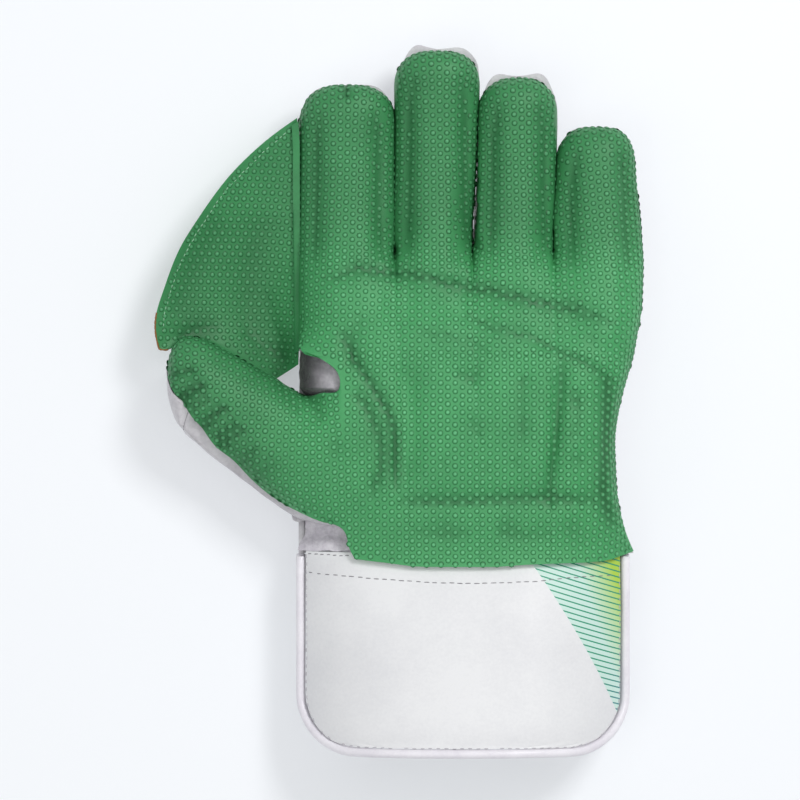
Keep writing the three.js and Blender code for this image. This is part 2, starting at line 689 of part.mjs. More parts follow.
// The leather back of the thumb starts along the hand's side seam, climbs over the
// wrist gusset at its lower end and tucks under the facing on the free side.
function thumbBase(c) {
  if (c <= sideColumns) {
    const { start } = thumbLeather[c];
    const row = start * (openRows.length - 1);
    const below = Math.min(openRows.length - 2, Math.floor(row));
    const [low, high] = [below, below + 1].map((r) =>
      handPoint(-1, backSides, 0, -1, openRows[r] * handLength, 1, backFullness),
    );
    const point = low.clone().lerp(high, row - below);
    point.x -= seamGap;
    const lean = smooth(start, 0.6, 1);
    point.inward = new THREE.Vector3(0, -lean, 1 - lean).normalize();
    if (c === sideColumns) point.inward.set(0.5, 0.8, 0.3);
    if (c === sideColumns) point.add(new THREE.Vector3(-4 * seamGap, 0, 3 * seamGap));
    return point;
  }
  const t = (c - sideColumns) / (thumbLeather.length - 1 - sideColumns);
  const x = lerp(-cuffWidth / 2 - 0.5, facingSides[0](thumbLow * handLength) - 0.8, Math.pow(t, 1.3));
  const y = openRows[0] * handLength - 4 * t;
  const z = Math.max(sideSeamZ + 2.4, gussetHeight(x, y) + backWall + 6 * seamGap);
  const point = new THREE.Vector3(x, y, z);
  point.inward = new THREE.Vector3(0.4 * (1 - t), 1.2 * (1 - t), -t).normalize();
  return point;
}

function thumbBacks() {
  const sheet = newSheet();
  const columns = thumbLeather.length - 1;
  const pointAt = (r, c) => {
    const base = thumbBase(c);
    const corner = Math.exp(-((c - sideColumns) ** 2) / 2);
    const skived = 1 - cornerThinning * corner * Math.max(0, 1 - r / bridgeRows);
    base.wall = backWall * skived;
    if (r === 0) return base;
    const along = thumbAlong[Math.max(0, r - bridgeRows)];
    const { turn, lap, grow, toward = 0 } = thumbLeather[c];
    const facingEdge = thumbSeamAngle(along);
    const beside = 3 * (columns + 1 - c);
    const sewn = facingEdge + lerp(lap, beside, smooth(along, 0.5, 0.66));
    const angle = lap === undefined ? lerp(turn, facingEdge, toward) : sewn;
    const tucked = lap === undefined ? 0 : gathersAt(along);
    const point = thumbPoint(along, angle, (grow - tucked) * (1 - smooth(along, 0.68, 0.86)));
    if (r < bridgeRows) {
      const arrive = thumbPoint(0.1, 270).sub(thumbPoint(0, 270)).setZ(0).normalize();
      const rising = smooth(c, sideColumns, columns);
      const leave = new THREE.Vector3(-1, 0.4 * rising, 0);
      leave.lerp(point.clone().sub(base).normalize(), corner);
      const bridged = bridge(base, leave, point, arrive, r / bridgeRows);
      if (c === columns) bridged.z -= 1.2 * Math.sin((Math.PI * r) / bridgeRows);
      bridged.wall = backWall * skived;
      if (c === 0) bridged.inward = new THREE.Vector3(0, -1, 0);
      if (c === columns) bridged.inward = new THREE.Vector3(0, 0, -1);
      return bridged;
    }
    if (c > 0 && c < columns) delete point.inward;
    if (along === 1) point.z -= 2 * seamGap;
    return along === 1 ? poleOf(point) : point;
  };
  addPatch(sheet, bridgeRows + thumbAlong.length - 1, columns, pointAt, false);
  const geometry = wallGeometry(sheet, backWall);
  const seam = thumbPoint(thumbCapSeam, 90);
  const cutter = new THREE.BoxGeometry(seamGap, thumbWidth * 3, thickness * 4);
  cutter.rotateZ(THREE.MathUtils.degToRad(thumbColumn.turn(thumbCapSeam) - 90));
  cutter.translate(seam.x, seam.y, 0);
  return partsAfterCut(geometry, cutter);
}

// The web: a patch between the index finger, the thumb and its own free edge

function webGeometry() {
  const lowY = webLow * handLength;
  const highY = webEdge[0].up * handLength;
  const indexAt = (s) => {
    const y = lerp(lowY, highY, s);
    const z = seamAt(y / handLength) * thickness + webLap;
    const point = new THREE.Vector3(backSides[0](y) - 2 * seamGap, y, z);
    if (s === 1) point.x = indexSide - webEdge[0].out * webReach;
    return point;
  };
  const thumbAt = (s) => thumbPoint(lerp(0.2, 0.985, s), -14, 3 * seamGap);
  const free = new THREE.CatmullRomCurve3(
    webEdge
      .map((e) => new THREE.Vector3(indexSide - e.out * webReach, e.up * handLength, e.rise * thickness))
      .concat([thumbAt(1)]),
  );
  const ends = [indexAt(1), thumbAt(1)];
  const sheet = newSheet();
  const pointAt = (r, c) => {
    const s = r / webRows;
    const t = 1 - Math.pow(1 - c / webColumns, 1.25);
    const point = indexAt(s).lerp(thumbAt(s), t);
    const bow = free.getPointAt(t).sub(ends[0].clone().lerp(ends[1], t));
    point.addScaledVector(bow, Math.pow(s, 1 + 2 * t * t));
    const pocket = Math.sin(Math.PI * t) * (0.35 + 0.65 * Math.sin(Math.PI * Math.pow(s, 0.8)));
    point.z -= webSag * pocket * (1 - Math.pow(s, 5));
    point.inward = new THREE.Vector3(0, 0, -1);
    return point;
  };
  addPatch(sheet, webRows, webColumns, pointAt, true);
  return { geometry: wallGeometry(sheet, webWall), indexAt, pointAt };
}

function stripGeometry(web) {
  const sheet = newSheet();
  const pointAt = (r, c) => {
    const s = lerp(0.055, 0.985, r / webRows);
    const row = s * webRows;
    const base = Math.min(webRows - 1, Math.floor(row));
    const start = web.pointAt(base, 0).lerp(web.pointAt(base + 1, 0), row - base);
    const next = web.pointAt(base, 1).lerp(web.pointAt(base + 1, 1), row - base);
    const run = next.sub(start).normalize();
    const point = start.addScaledVector(run, c ? stripWidth : 0.05);
    point.z += stripWall + seamGap + 0.25;
    point.inward = new THREE.Vector3(0, 0, -1);
    return point;
  };
  addPatch(sheet, webRows, 1, pointAt, true);
  return wallGeometry(sheet, stripWall);
}

// The cuff: two curved foam panels, the front one arched and the back one flat
// underneath, each bound with piping round its sides and mouth

const cuffEdgeX = cuffWidth / 2 - pipingDiameter - seamGap; // where the panels stop
const cuffEdgeY = -cuffLength + pipingDiameter + seamGap;
const pipingX = cuffWidth / 2 - pipingRadius;
const sideSeamZ = heights[0].seam * thickness;

// Height of a panel's middle surface; face 1 is the front, -1 the back.
function cuffHeight(face, x, y) {
  const down = THREE.MathUtils.clamp(-y / cuffLength, 0, 1);
  const side = sideSeamZ + face * (pipingRadius + seamGap / 2);
  if (face < 0) {
    const flat = cuffWall / 2;
    const out = Math.max(0, (Math.abs(x) - cuffFlat) / (pipingX - cuffFlat));
    return flat + (side - flat) * out * out;
  }
  const top = lerp(cuffTopHeight, cuffMouthHeight, Math.pow(down, 0.9)) - cuffWall / 2;
  const power = lerp(3.6, 2.7, down);
  return side + (top - side) * (1 - Math.pow(Math.abs(x) / pipingX, power));
}

function cuffHalfWidth(y, half, lowY, radius) {
  const below = Math.max(0, lowY + radius - y);
  return half - radius + Math.sqrt(Math.max(0, radius * radius - below * below));
}

function panelWall(x, y) {
  const half = cuffHalfWidth(y, cuffEdgeX, cuffEdgeY, cuffCorner);
  const edge = Math.min(half - Math.abs(x), y - cuffEdgeY, cuffTopY - y + 3);
  return lerp(cuffEdgeWall, cuffWall, smooth(edge, 0, 9));
}

function cuffPanel(face) {
  const sheet = newSheet();
  const topY = face > 0 ? cuffTopY : backTopY;
  const pointAt = (r, c) => {
    const down = cuffRows[r];
    const y = lerp(topY, cuffEdgeY, down);
    const half = cuffHalfWidth(y, cuffEdgeX, cuffEdgeY, cuffCorner);
    const x = half * cuffColumns[c];
    const wall = panelWall(x, y);
    const point = new THREE.Vector3(x, y, cuffHeight(face, x, y) + (face * wall) / 2);
    point.wall = wall;
    point.rim = "end";
    return point;
  };
  addPatch(sheet, cuffRows.length - 1, cuffColumns.length - 1, pointAt, face > 0);
  return wallGeometry(sheet, cuffWall);
}

function pipingGeometry(face) {
  const topY = face > 0 ? pipingTopY : backTopY - seamGap;
  const lowY = -cuffLength + pipingRadius;
  const radius = cuffCorner + pipingRadius;
  const path = [];
  for (let i = 0; i <= 4; i++) path.push([pipingX, lerp(topY, lowY + radius, i / 4)]);
  for (let i = 1; i <= 6; i++) {
    const angle = ((i / 6) * Math.PI) / 2;
    path.push([pipingX - radius + radius * Math.cos(angle), lowY + radius - radius * Math.sin(angle)]);
  }
  for (let i = 1; i < 4; i++) path.push([lerp(pipingX - radius, 0, i / 4), lowY]);
  const mirrored = [...path].reverse().map(([x, y]) => [-x, y]);
  const points = path
    .concat([[0, lowY]], mirrored)
    .map(([x, y]) => new THREE.Vector3(x, y, pipingHeight(face, x, y)));
  return tubeGeometry(points, pipingRadius, 6);
}

function pipingHeight(face, x, y) {
  const z = cuffHeight(face, x, y);
  return face < 0 ? Math.max(pipingRadius, z) : z;
}

// A closed round bar through a list of points.
function tubeGeometry(points, radius, sides) {
  const sheet = newSheet();
  const pointAt = (r, c) => {
    const at = points[r];
    const ahead = points[Math.min(r + 1, points.length - 1)];
    const behind = points[Math.max(r - 1, 0)];
    const along = ahead.clone().sub(behind).normalize();
    const side = along.clone().cross(new THREE.Vector3(0, 0, 1)).normalize();
    const top = side.clone().cross(along);
    const angle = ((c % sides) / sides) * Math.PI * 2;
    return at.clone()
      .addScaledVector(side, radius * Math.cos(angle))
      .addScaledVector(top, radius * Math.sin(angle));
  };
  addPatch(sheet, points.length - 1, sides, pointAt, true);
  const position = sheet.points.flatMap((p) => [p.x, p.y, p.z]);
  const faces = sheet.faces.flat();
  const last = sheet.points.length - sides;
  for (let i = 1; i < sides - 1; i++) {
    faces.push(0, i, i + 1);
    faces.push(last, last + i + 1, last + i);
  }
  const geometry = new THREE.BufferGeometry();
  geometry.setAttribute("position", new THREE.Float32BufferAttribute(position, 3));
  geometry.setIndex(faces);
  return geometry;
}

// Gussets: leather that closes the hand's side below the thumb and beside the cut-out

const gussetNarrowing = (y) => 1 + 0.052 * smooth(y, cuffTopY, cuffTopY + gussetRun);

function gussetHeight(x, y) {
  const dip = gussetDip * smooth(y, cuffTopY, cuffTopY + gussetRun);
  const narrowed = x * gussetNarrowing(y);
  return cuffHeight(1, narrowed, 0) + cuffEdgeWall / 2 - dip;
}

function wristGusset() {
  const sheet = newSheet();
  const pointAt = (r, c) => {
    const y = lerp(cuffTopY + seamGap, thumbLowY + 1, r / 5);
    const inner = facingSides[0](0) + 5;
    const outer = (-pipingX - 1.7) / gussetNarrowing(y);
    const x = lerp(inner, outer, Math.sin(((c / 7) * Math.PI) / 2));
    const point = new THREE.Vector3(x, y, Math.max(gussetHeight(x, y), sideSeamZ + seamGap));
    if (c === 7) point.rim = "side";
    if (r === 0) point.rim = c === 7 ? "corner" : "end";
    return point;
  };
  addPatch(sheet, 5, 7, pointAt, true);
  return wallGeometry(sheet, gussetWall);
}

function crotchGusset() {
  const sheet = newSheet();
  const pointAt = (r, c) => {
    const tucked = r === 0;
    const y = tucked ? thumbHighY - 2 : lerp(thumbHighY + 1.2, notchTop * handLength - 0.4, (r - 1) / 5);
    const up = y / handLength;
    const angle = ((c / 7) * Math.PI) / 2;
    const outer = backSides[0](y) + (tucked ? 3.5 : 0.2);
    const inner = facingSides[0](thumbTop * handLength) + 3.5;
    const seam = seamAt(up) * thickness + seamGap;
    const top = seam + frontAt(up) * thickness - facingWall - 3;
    const out = tucked ? c / 7 : Math.pow(Math.sin(angle), 0.9);
    const rise = tucked ? 0.46 + 0.46 * Math.cos(angle * 2) : Math.pow(Math.cos(angle), 0.9);
    return new THREE.Vector3(lerp(inner, outer, out), y, lerp(seam, top, rise));
  };
  addPatch(sheet, 6, 7, pointAt, true);
  return wallGeometry(sheet, gussetWall);
}

const material = (color, roughness) =>
  new THREE.MeshStandardMaterial({ color, roughness, metalness: 0 });
const rubber = material(0x4aa568, 0.5);
const leather = material(0xd6d3d6, 0.6);
const suede = material(0xb4afb5, 0.9);
const vinyl = material(0xe6e6e7, 0.4);
const binding = material(0xefecf1, 0.35);

const glove = new THREE.Group();
glove.position.y = -restY;

function place(name, geometry, finish) {
  const mesh = new THREE.Mesh(geometry, finish);
  mesh.name = name;
  glove.add(mesh);
}

place("palm_facing", palmFacing(), rubber);
const web = webGeometry();
place("web", web.geometry, rubber);
place("web_seam_strip", stripGeometry(web), rubber);
place("crotch_gusset", crotchGusset(), suede);
place("wrist_gusset", wristGusset(), suede);
const [indexBack, middleBack, handBack, ringBack, littleBack] = handBacks();
place("hand_back", handBack, leather);
place("index_back", indexBack, leather);
place("middle_back", middleBack, leather);
place("ring_back", ringBack, leather);
place("little_back", littleBack, leather);
const [thumbTipBack, thumbBack] = thumbBacks();
place("thumb_back", thumbBack, leather);
place("thumb_tip_back", thumbTipBack, leather);
place("cuff_front", cuffPanel(1), vinyl);
place("cuff_back", cuffPanel(-1), vinyl);
place("cuff_front_piping", pipingGeometry(1), binding);
place("cuff_back_piping", pipingGeometry(-1), binding);

export default glove;
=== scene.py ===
# Looks of the wicketkeeping glove, laid on its back with the palm up.
# Metres, in the part's own frame: the origin is under the cuff, +Y points to the fingertips.
import math
import random
from collections import deque

import bmesh
import bpy
import numpy as np
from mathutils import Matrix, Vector, noise
from mathutils.bvhtree import BVHTree
from mathutils.kdtree import KDTree


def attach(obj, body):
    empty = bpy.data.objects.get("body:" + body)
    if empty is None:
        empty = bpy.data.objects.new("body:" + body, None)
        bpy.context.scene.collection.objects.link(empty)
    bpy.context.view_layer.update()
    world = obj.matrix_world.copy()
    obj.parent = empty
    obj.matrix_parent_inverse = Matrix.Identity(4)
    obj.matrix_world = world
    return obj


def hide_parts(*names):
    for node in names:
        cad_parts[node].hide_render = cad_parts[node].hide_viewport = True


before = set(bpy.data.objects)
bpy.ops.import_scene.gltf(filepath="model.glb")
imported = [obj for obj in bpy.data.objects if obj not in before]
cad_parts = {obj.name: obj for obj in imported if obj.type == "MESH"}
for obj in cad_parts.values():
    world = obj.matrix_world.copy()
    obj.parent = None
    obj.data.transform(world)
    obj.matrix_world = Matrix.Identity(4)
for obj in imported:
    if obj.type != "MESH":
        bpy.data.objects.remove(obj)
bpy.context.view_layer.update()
mm = 0.001
wristY = 38  # millimetres from the origin to the wrist seam; the tables below count from that seam


# places and meshes

def at(x, y, z=0.0):
    # a point from a table: millimetres from the cuff's middle line and the wrist seam
    return Vector((x * mm, (y + wristY) * mm, z * mm))


def planOf(points):
    # the other way round: the plan of an array of points, in a table's millimetres
    return points[:, :2] / mm - np.array([0, wristY])


def bell(distance, reach):
    # 1 on the spot, falling softly to nothing
    return np.exp(-((distance / reach) ** 2))


def within(value, span):
    # 1 inside the span, fading to nothing at both its ends
    rise = np.clip((value - span["from"]) / span["fadeIn"], 0, 1)
    return rise * np.clip((span["to"] - value) / span["fadeOut"], 0, 1)


def deselectAll():
    if bpy.context.object and bpy.context.object.mode != "OBJECT":
        bpy.ops.object.mode_set(mode="OBJECT")
    bpy.ops.object.select_all(action="DESELECT")


def makeActive(obj):
    deselectAll()
    obj.select_set(True)
    bpy.context.view_layer.objects.active = obj


def coordinates(obj):
    points = np.empty(len(obj.data.vertices) * 3)
    obj.data.vertices.foreach_get("co", points)
    return points.reshape(-1, 3)


def normals(obj):
    found = np.empty(len(obj.data.vertices) * 3)
    obj.data.vertices.foreach_get("normal", found)
    return found.reshape(-1, 3)


def setCoordinates(obj, points):
    obj.data.vertices.foreach_set("co", points.ravel())
    obj.data.update()


def newObject(name, points, faces):
    mesh = bpy.data.meshes.new(name)
    mesh.from_pydata(points, [], faces)
    obj = bpy.data.objects.new(name, mesh)
    bpy.context.scene.collection.objects.link(obj)
    return obj


def ringFaces(rings, sides, swapped=False):
    # the faces of a tube between rings of points; swapped turns them the other way round
    faces = []
    for ring in range(rings - 1):
        low, high = ring * sides, (ring + 1) * sides
        for i in range(sides):
            j = (i + 1) % sides
            if swapped:
                faces.append((low + i, high + i, high + j, low + j))
            else:
                faces.append((low + i, low + j, high + j, high + i))
    return faces


def setPointValues(obj, name, values):
    layer = obj.data.attributes.new(name, "FLOAT", "POINT")
    layer.data.foreach_set("value", values)


# camera, floor and light

camera = {"x": -29, "y": 71.8, "height": 1.9, "field": 0.368, "plane": 0.03, "sensor": 36, "farthest": 20}
floorLook = {
    "size": 14,
    "color": (0.62, 0.635, 0.655, 1),
    "glow": (0.955, 0.975, 1.0, 1),
    "glowStrength": 0.34,
    "roughness": 0.9,
    "specular": 0.1,
}
lights = {
    "keyLight": {"place": (0.75, 0.95, 1.5), "size": 0.5, "power": 15.0},
    "fillLight": {"place": (-1.1, -0.5, 1.6), "size": 1.6, "power": 5.5},
    "topLight": {"place": (0.0, 0.1, 2.4), "size": 2.2, "power": 12.5},
}
lightAim = (0, 0.1, 0)
studio = {"color": (0.96, 0.98, 1, 1), "strength": 0.43}


def makeCamera():
    data = bpy.data.cameras.new("camera")
    obj = bpy.data.objects.new("camera", data)
    bpy.context.scene.collection.objects.link(obj)
    obj.location = at(camera["x"], camera["y"], camera["height"] / mm)
    data.sensor_width = camera["sensor"]
    data.lens = camera["sensor"] * (camera["height"] - camera["plane"]) / camera["field"]
    data.clip_end = camera["farthest"]
    bpy.context.scene.camera = obj
    bpy.context.scene.view_settings.view_transform = "Standard"


def makeFloor():
    bpy.ops.mesh.primitive_plane_add(size=floorLook["size"], location=(0, 0, 0))
    floor = bpy.context.object
    floor.name = "floor"
    material = bpy.data.materials.new("paleFloor")
    material.use_nodes = True
    shader = material.node_tree.nodes["Principled BSDF"]
    shader.inputs["Base Color"].default_value = floorLook["color"]
    shader.inputs["Emission Color"].default_value = floorLook["glow"]
    shader.inputs["Emission Strength"].default_value = floorLook["glowStrength"]
    shader.inputs["Roughness"].default_value = floorLook["roughness"]
    shader.inputs["Specular IOR Level"].default_value = floorLook["specular"]
    floor.data.materials.append(material)


def makeLights():
    for name, light in lights.items():
        data = bpy.data.lights.new(name, "AREA")
        data.size = light["size"]
        data.energy = light["power"]
        lamp = bpy.data.objects.new(name, data)
        lamp.location = light["place"]
        aim = Vector(lightAim) - lamp.location
        lamp.rotation_euler = aim.to_track_quat("-Z", "Y").to_euler()
        bpy.context.scene.collection.objects.link(lamp)
    world = bpy.data.worlds.new("studio")
    world.use_nodes = True
    background = world.node_tree.nodes["Background"]
    background.inputs["Color"].default_value = studio["color"]
    background.inputs["Strength"].default_value = studio["strength"]
    bpy.context.scene.world = world


makeCamera()
makeFloor()
makeLights()
print("camera, floor and light done")


# helpers for materials

def srgb(r, g, b):
    # a colour as read from a screen, 0 to 255, made linear for the shader
    linear = [((v / 255 + 0.055) / 1.055) ** 2.4 if v > 10 else v / 255 / 12.92 for v in (r, g, b)]
    return (*linear, 1.0)


def setSocket(tree, socket, value):
    # a value is a plain number or colour, or another node's output
    if isinstance(value, bpy.types.NodeSocket):
        tree.links.new(value, socket)
    else:
        socket.default_value = value


def addNode(tree, kind, settings=None, **inputs):
    # inputs are given by their names, or as i0, i1 and so on by their numbers
    node = tree.nodes.new(kind)
    for key, value in (settings or {}).items():
        setattr(node, key, value)
    for key, value in inputs.items():
        byNumber = key[0] == "i" and key[1:].isdigit()
        setSocket(tree, node.inputs[int(key[1:]) if byNumber else key], value)
    return node


def mathNode(tree, operation, *values):
    inputs = {"i" + str(number): value for number, value in enumerate(values)}
    return addNode(tree, "ShaderNodeMath", {"operation": operation}, **inputs).outputs[0]


def mapRange(tree, value, fromMin, fromMax, toMin=0.0, toMax=1.0, smooth=False):
    settings = {"interpolation_type": "SMOOTHSTEP" if smooth else "LINEAR"}
    limits = {"From Min": fromMin, "From Max": fromMax, "To Min": toMin, "To Max": toMax}
    return addNode(tree, "ShaderNodeMapRange", settings, Value=value, **limits).outputs[0]


def mixColors(tree, amount, first, second):
    node = addNode(tree, "ShaderNodeMix", {"data_type": "RGBA"}, i0=amount, i6=first, i7=second)
    return node.outputs[2]


def shadeColor(tree, color, light):
    # the colour made darker where light is below 1
    node = addNode(tree, "ShaderNodeVectorMath", {"operation": "SCALE"}, i0=color, Scale=light)
    return node.outputs[0]


def separate(tree, coords):
    place = addNode(tree, "ShaderNodeSeparateXYZ", i0=coords)
    return place.outputs["X"], place.outputs["Y"]


def newMaterial(name, look):
    material = bpy.data.materials.new(name)
    material.use_nodes = True
    shader = material.node_tree.nodes["Principled BSDF"]
    shader.inputs["Roughness"].default_value = look["roughness"]
    if "specular" in look:
        shader.inputs["Specular IOR Level"].default_value = look["specular"]
    coords = material.node_tree.nodes.new("ShaderNodeTexCoord")
    return material, material.node_tree, shader, coords.outputs["Object"]


def placeGroup(tree, group, **inputs):
    node = tree.nodes.new("ShaderNodeGroup")
    node.node_tree = group
    for key, value in inputs.items():
        setSocket(tree, node.inputs[key], value)
    return node


def addBump(tree, shader, height, strength, distance):
    bump = addNode(tree, "ShaderNodeBump", Strength=strength, Distance=distance, Height=height)
    tree.links.new(bump.outputs["Normal"], shader.inputs["Normal"])


# effects that several materials share, as node groups

def newGroup(name, inputs, outputs):
    group = bpy.data.node_groups.new(name, "ShaderNodeTree")
    for label, kind, value in inputs:
        socket = group.interface.new_socket(label, in_out="INPUT", socket_type=kind)
        if value is not None:
            socket.default_value = value
    for label, kind in outputs:
        group.interface.new_socket(label, in_out="OUTPUT", socket_type=kind)
    return group, group.nodes.new("NodeGroupInput").outputs, group.nodes.new("NodeGroupOutput").inputs


pebbles = {"warpScale": 420.0, "warp": 0.0012, "edge": 0.25, "creaseScale": 95.0, "creaseWidth": 0.035}


def makeLeatherGrain():
    # small pebbles with soft creases between them, as a height from 0 to 1
    group, start, end = newGroup(
        "leatherGrain",
        [
            ("Vector", "NodeSocketVector", None),
            ("Size", "NodeSocketFloat", 900.0),
            ("Creases", "NodeSocketFloat", 0.5),
        ],
        [("Height", "NodeSocketFloat")],
    )
    warp = addNode(group, "ShaderNodeTexNoise", Vector=start["Vector"], Scale=pebbles["warpScale"],
                   Detail=2.0)
    shifted = addNode(group, "ShaderNodeVectorMath", {"operation": "MULTIPLY_ADD"}, i0=warp.outputs["Color"],
                      i1=(pebbles["warp"],) * 3, i2=start["Vector"])
    cells = addNode(group, "ShaderNodeTexVoronoi", {"feature": "DISTANCE_TO_EDGE"},
                    Vector=shifted.outputs[0], Scale=start["Size"])
    pebble = mapRange(group, cells.outputs["Distance"], 0.0, pebbles["edge"])
    crease = addNode(group, "ShaderNodeTexNoise", Vector=start["Vector"], Scale=pebbles["creaseScale"],
                     Detail=5.0, Roughness=0.62)
    ridge = mathNode(group, "ABSOLUTE", mathNode(group, "SUBTRACT", crease.outputs["Fac"], 0.5))
    lines = mapRange(group, ridge, 0.0, pebbles["creaseWidth"])
    mixed = addNode(group, "ShaderNodeMix", {"data_type": "FLOAT"}, i0=start["Creases"], i2=pebble, i3=lines)
    group.links.new(mixed.outputs[0], end["Height"])
    return group


patches = {"fineScale": 700.0, "fineShare": 0.35, "from": 0.52, "to": 0.86}


def makeSoiling():
    # broad soft patches that darken a colour a little, and fine mottling
    group, start, end = newGroup(
        "soiling",
        [
            ("Color", "NodeSocketColor", (0.8, 0.8, 0.8, 1)),
            ("Dark", "NodeSocketColor", (0.6, 0.6, 0.6, 1)),
            ("Vector", "NodeSocketVector", None),
            ("Patches", "NodeSocketFloat", 30.0),
            ("Amount", "NodeSocketFloat", 0.5),
        ],
        [("Color", "NodeSocketColor")],
    )
    broad = addNode(group, "ShaderNodeTexNoise", Vector=start["Vector"], Scale=start["Patches"],
                    Detail=6.0, Roughness=0.6)
    fine = addNode(group, "ShaderNodeTexNoise", Vector=start["Vector"], Scale=patches["fineScale"],
                   Detail=3.0)
    both = mathNode(group, "MULTIPLY_ADD", fine.outputs["Fac"], patches["fineShare"], broad.outputs["Fac"])
    soft = mapRange(group, both, patches["from"], patches["to"])
    amount = mathNode(group, "MULTIPLY", soft, start["Amount"])
    group.links.new(mixColors(group, amount, start["Color"], start["Dark"]), end["Color"])
    return group


leatherGrain = makeLeatherGrain()
soiling = makeSoiling()


def wear(tree, coords, look, color):
    worn = placeGroup(tree, soiling, Color=color, Dark=srgb(*look["dark"]), Vector=coords,
                      Patches=look["patches"], Amount=look["wear"])
    return worn.outputs["Color"]


def addGrain(tree, shader, coords, look):
    grain = placeGroup(tree, leatherGrain, Vector=coords, Size=look["grain"], Creases=look["creases"])
    addBump(tree, shader, grain.outputs["Height"], look["bump"], look["bumpDepth"])


# materials, their colours 0 to 255 as seen on a screen

rubberLook = {
    "ground": (72, 160, 98),
    "dark": (50, 124, 74),
    # the colour of the painted shade in the folds
    "pressed": (30, 88, 48),
    # painted shade at the pimples' foot, and a painted highlight on their top
    "pimpleFootShade": (34, 92, 52),
    "pimpleSide": (62, 144, 86),
    "pimpleTopHighlight": (104, 190, 132),
    "sheetShadow": 0.85,  # how dark the painted shade in the folds is on the sheet
    "pimpleShadow": 0.3,  # and on its pimples
    "patches": 45.0,
    "wear": 0.35,
    "roughness": 0.5,
    "specular": 0.35,
}
# painted shade: the fingers, the thumb and the web are painted darker than the palm; metres up the hand and
# across it
fingerShade = {"start": 0.162, "end": 0.196, "sideStart": -0.07, "sideEnd": -0.1, "darkness": 0.76}


def pimpleColor(tree):
    # painted shade at the foot and a painted highlight on top
    height = addNode(tree, "ShaderNodeAttribute", {"attribute_name": "height"})
    ramp = addNode(tree, "ShaderNodeValToRGB", Fac=height.outputs["Fac"])
    foot, top = ramp.color_ramp.elements
    foot.position = 0.05
    foot.color = srgb(*rubberLook["pimpleFootShade"])
    top.position = 0.95
    top.color = srgb(*rubberLook["pimpleTopHighlight"])
    side = ramp.color_ramp.elements.new(0.55)
    side.color = srgb(*rubberLook["pimpleSide"])
    return ramp.outputs["Color"]


def paleness(tree, coords):
    # painted shade: 1 on the palm, falling to the darkness share on the fingers, the thumb and the web
    x, y = separate(tree, coords)
    belowFingers = mapRange(tree, y, fingerShade["end"], fingerShade["start"], smooth=True)
    besideThumb = mapRange(tree, x, fingerShade["sideEnd"], fingerShade["sideStart"], smooth=True)
    inPalm = mathNode(tree, "MULTIPLY", belowFingers, besideThumb)
    return mapRange(tree, inPalm, 0.0, 1.0, fingerShade["darkness"], 1.0)


def makeRubber(name, pimples):
    material, tree, shader, coords = newMaterial(name, rubberLook)
    ground = pimpleColor(tree) if pimples else srgb(*rubberLook["ground"])
    # painted shade: the colour turns towards the fold shade colour by how deep the sheet is pressed into a
    # fold there
    pressed = addNode(tree, "ShaderNodeAttribute", {"attribute_name": "pressed"})
    share = rubberLook["pimpleShadow" if pimples else "sheetShadow"]
    shadow = mathNode(tree, "MULTIPLY", pressed.outputs["Fac"], share)
    color = mixColors(tree, shadow, ground, srgb(*rubberLook["pressed"]))
    # and the painted shade that darkens the fingers, the thumb and the web
    shaded = shadeColor(tree, wear(tree, coords, rubberLook, color), paleness(tree, coords))
    tree.links.new(shaded, shader.inputs["Base Color"])
    grit = addNode(tree, "ShaderNodeTexNoise", Vector=coords, Scale=2600.0, Detail=3.0, Roughness=0.7)
    addBump(tree, shader, grit.outputs["Fac"], 0.25, 0.0001)
    return material


whiteLook = {
    "color": (218, 216, 219), "dark": (176, 172, 178), "patches": 55.0, "wear": 0.7,
    "roughness": 0.5, "specular": 0.4, "grain": 1100.0, "creases": 0.35, "bump": 0.35, "bumpDepth": 0.00025,
}


def makeWhiteLeather():
    material, tree, shader, coords = newMaterial("whiteLeather", whiteLook)
    tree.links.new(wear(tree, coords, whiteLook, srgb(*whiteLook["color"])), shader.inputs["Base Color"])
    addGrain(tree, shader, coords, whiteLook)
    return material


suedeLook = {
    "color": (226, 222, 228), "dark": (184, 178, 188), "patches": 120.0, "wear": 0.8, "roughness": 0.85,
    "specular": 0.2, "sheen": 0.25, "grain": 1500.0, "creases": 0.6, "bump": 0.6, "bumpDepth": 0.0003,
}
# the leather beside the thumb darkens where it turns down into the glove
crotchShade = {"from": -0.0745, "to": -0.057, "least": 0.05, "most": 0.72}


def makeSuede(name, deepShade):
    material, tree, shader, coords = newMaterial(name, suedeLook)
    shader.inputs["Sheen Weight"].default_value = suedeLook["sheen"]
    color = wear(tree, coords, suedeLook, srgb(*suedeLook["color"]))
    if deepShade:
        x, _ = separate(tree, coords)
        light = mapRange(tree, x, deepShade["from"], deepShade["to"], deepShade["least"], deepShade["most"],
                         smooth=True)
        color = shadeColor(tree, color, light)
    tree.links.new(color, shader.inputs["Base Color"])
    addGrain(tree, shader, coords, suedeLook)
    return material


vinylLook = {
    "color": (233, 233, 234), "dark": (214, 214, 217), "patches": 22.0, "wear": 0.55, "roughness": 0.42,
    "specular": 0.45, "coat": 0.08, "grain": 1700.0, "creases": 0.2, "bump": 0.1, "bumpDepth": 0.00012,
}
# the wedge of slanting stripes, in millimetres; its lime and blue areas below, in metres
stripes = {
    "line": (24, 150, 116),
    "ground": (203, 230, 220),
    "lime": (176, 208, 70),
    "blue": (60, 120, 150),
    "pitch": 2.53,
    "share": 0.24,
    "slope": 0.315,
    "startX": 29.2,
    "lean": 0.7155,
    "bow": 0.0019,
}
limeArea = {"slope": 0.35, "from": 0.064, "to": 0.08}
blueArea = {"slope": -0.5, "from": 0.07, "to": 0.095}


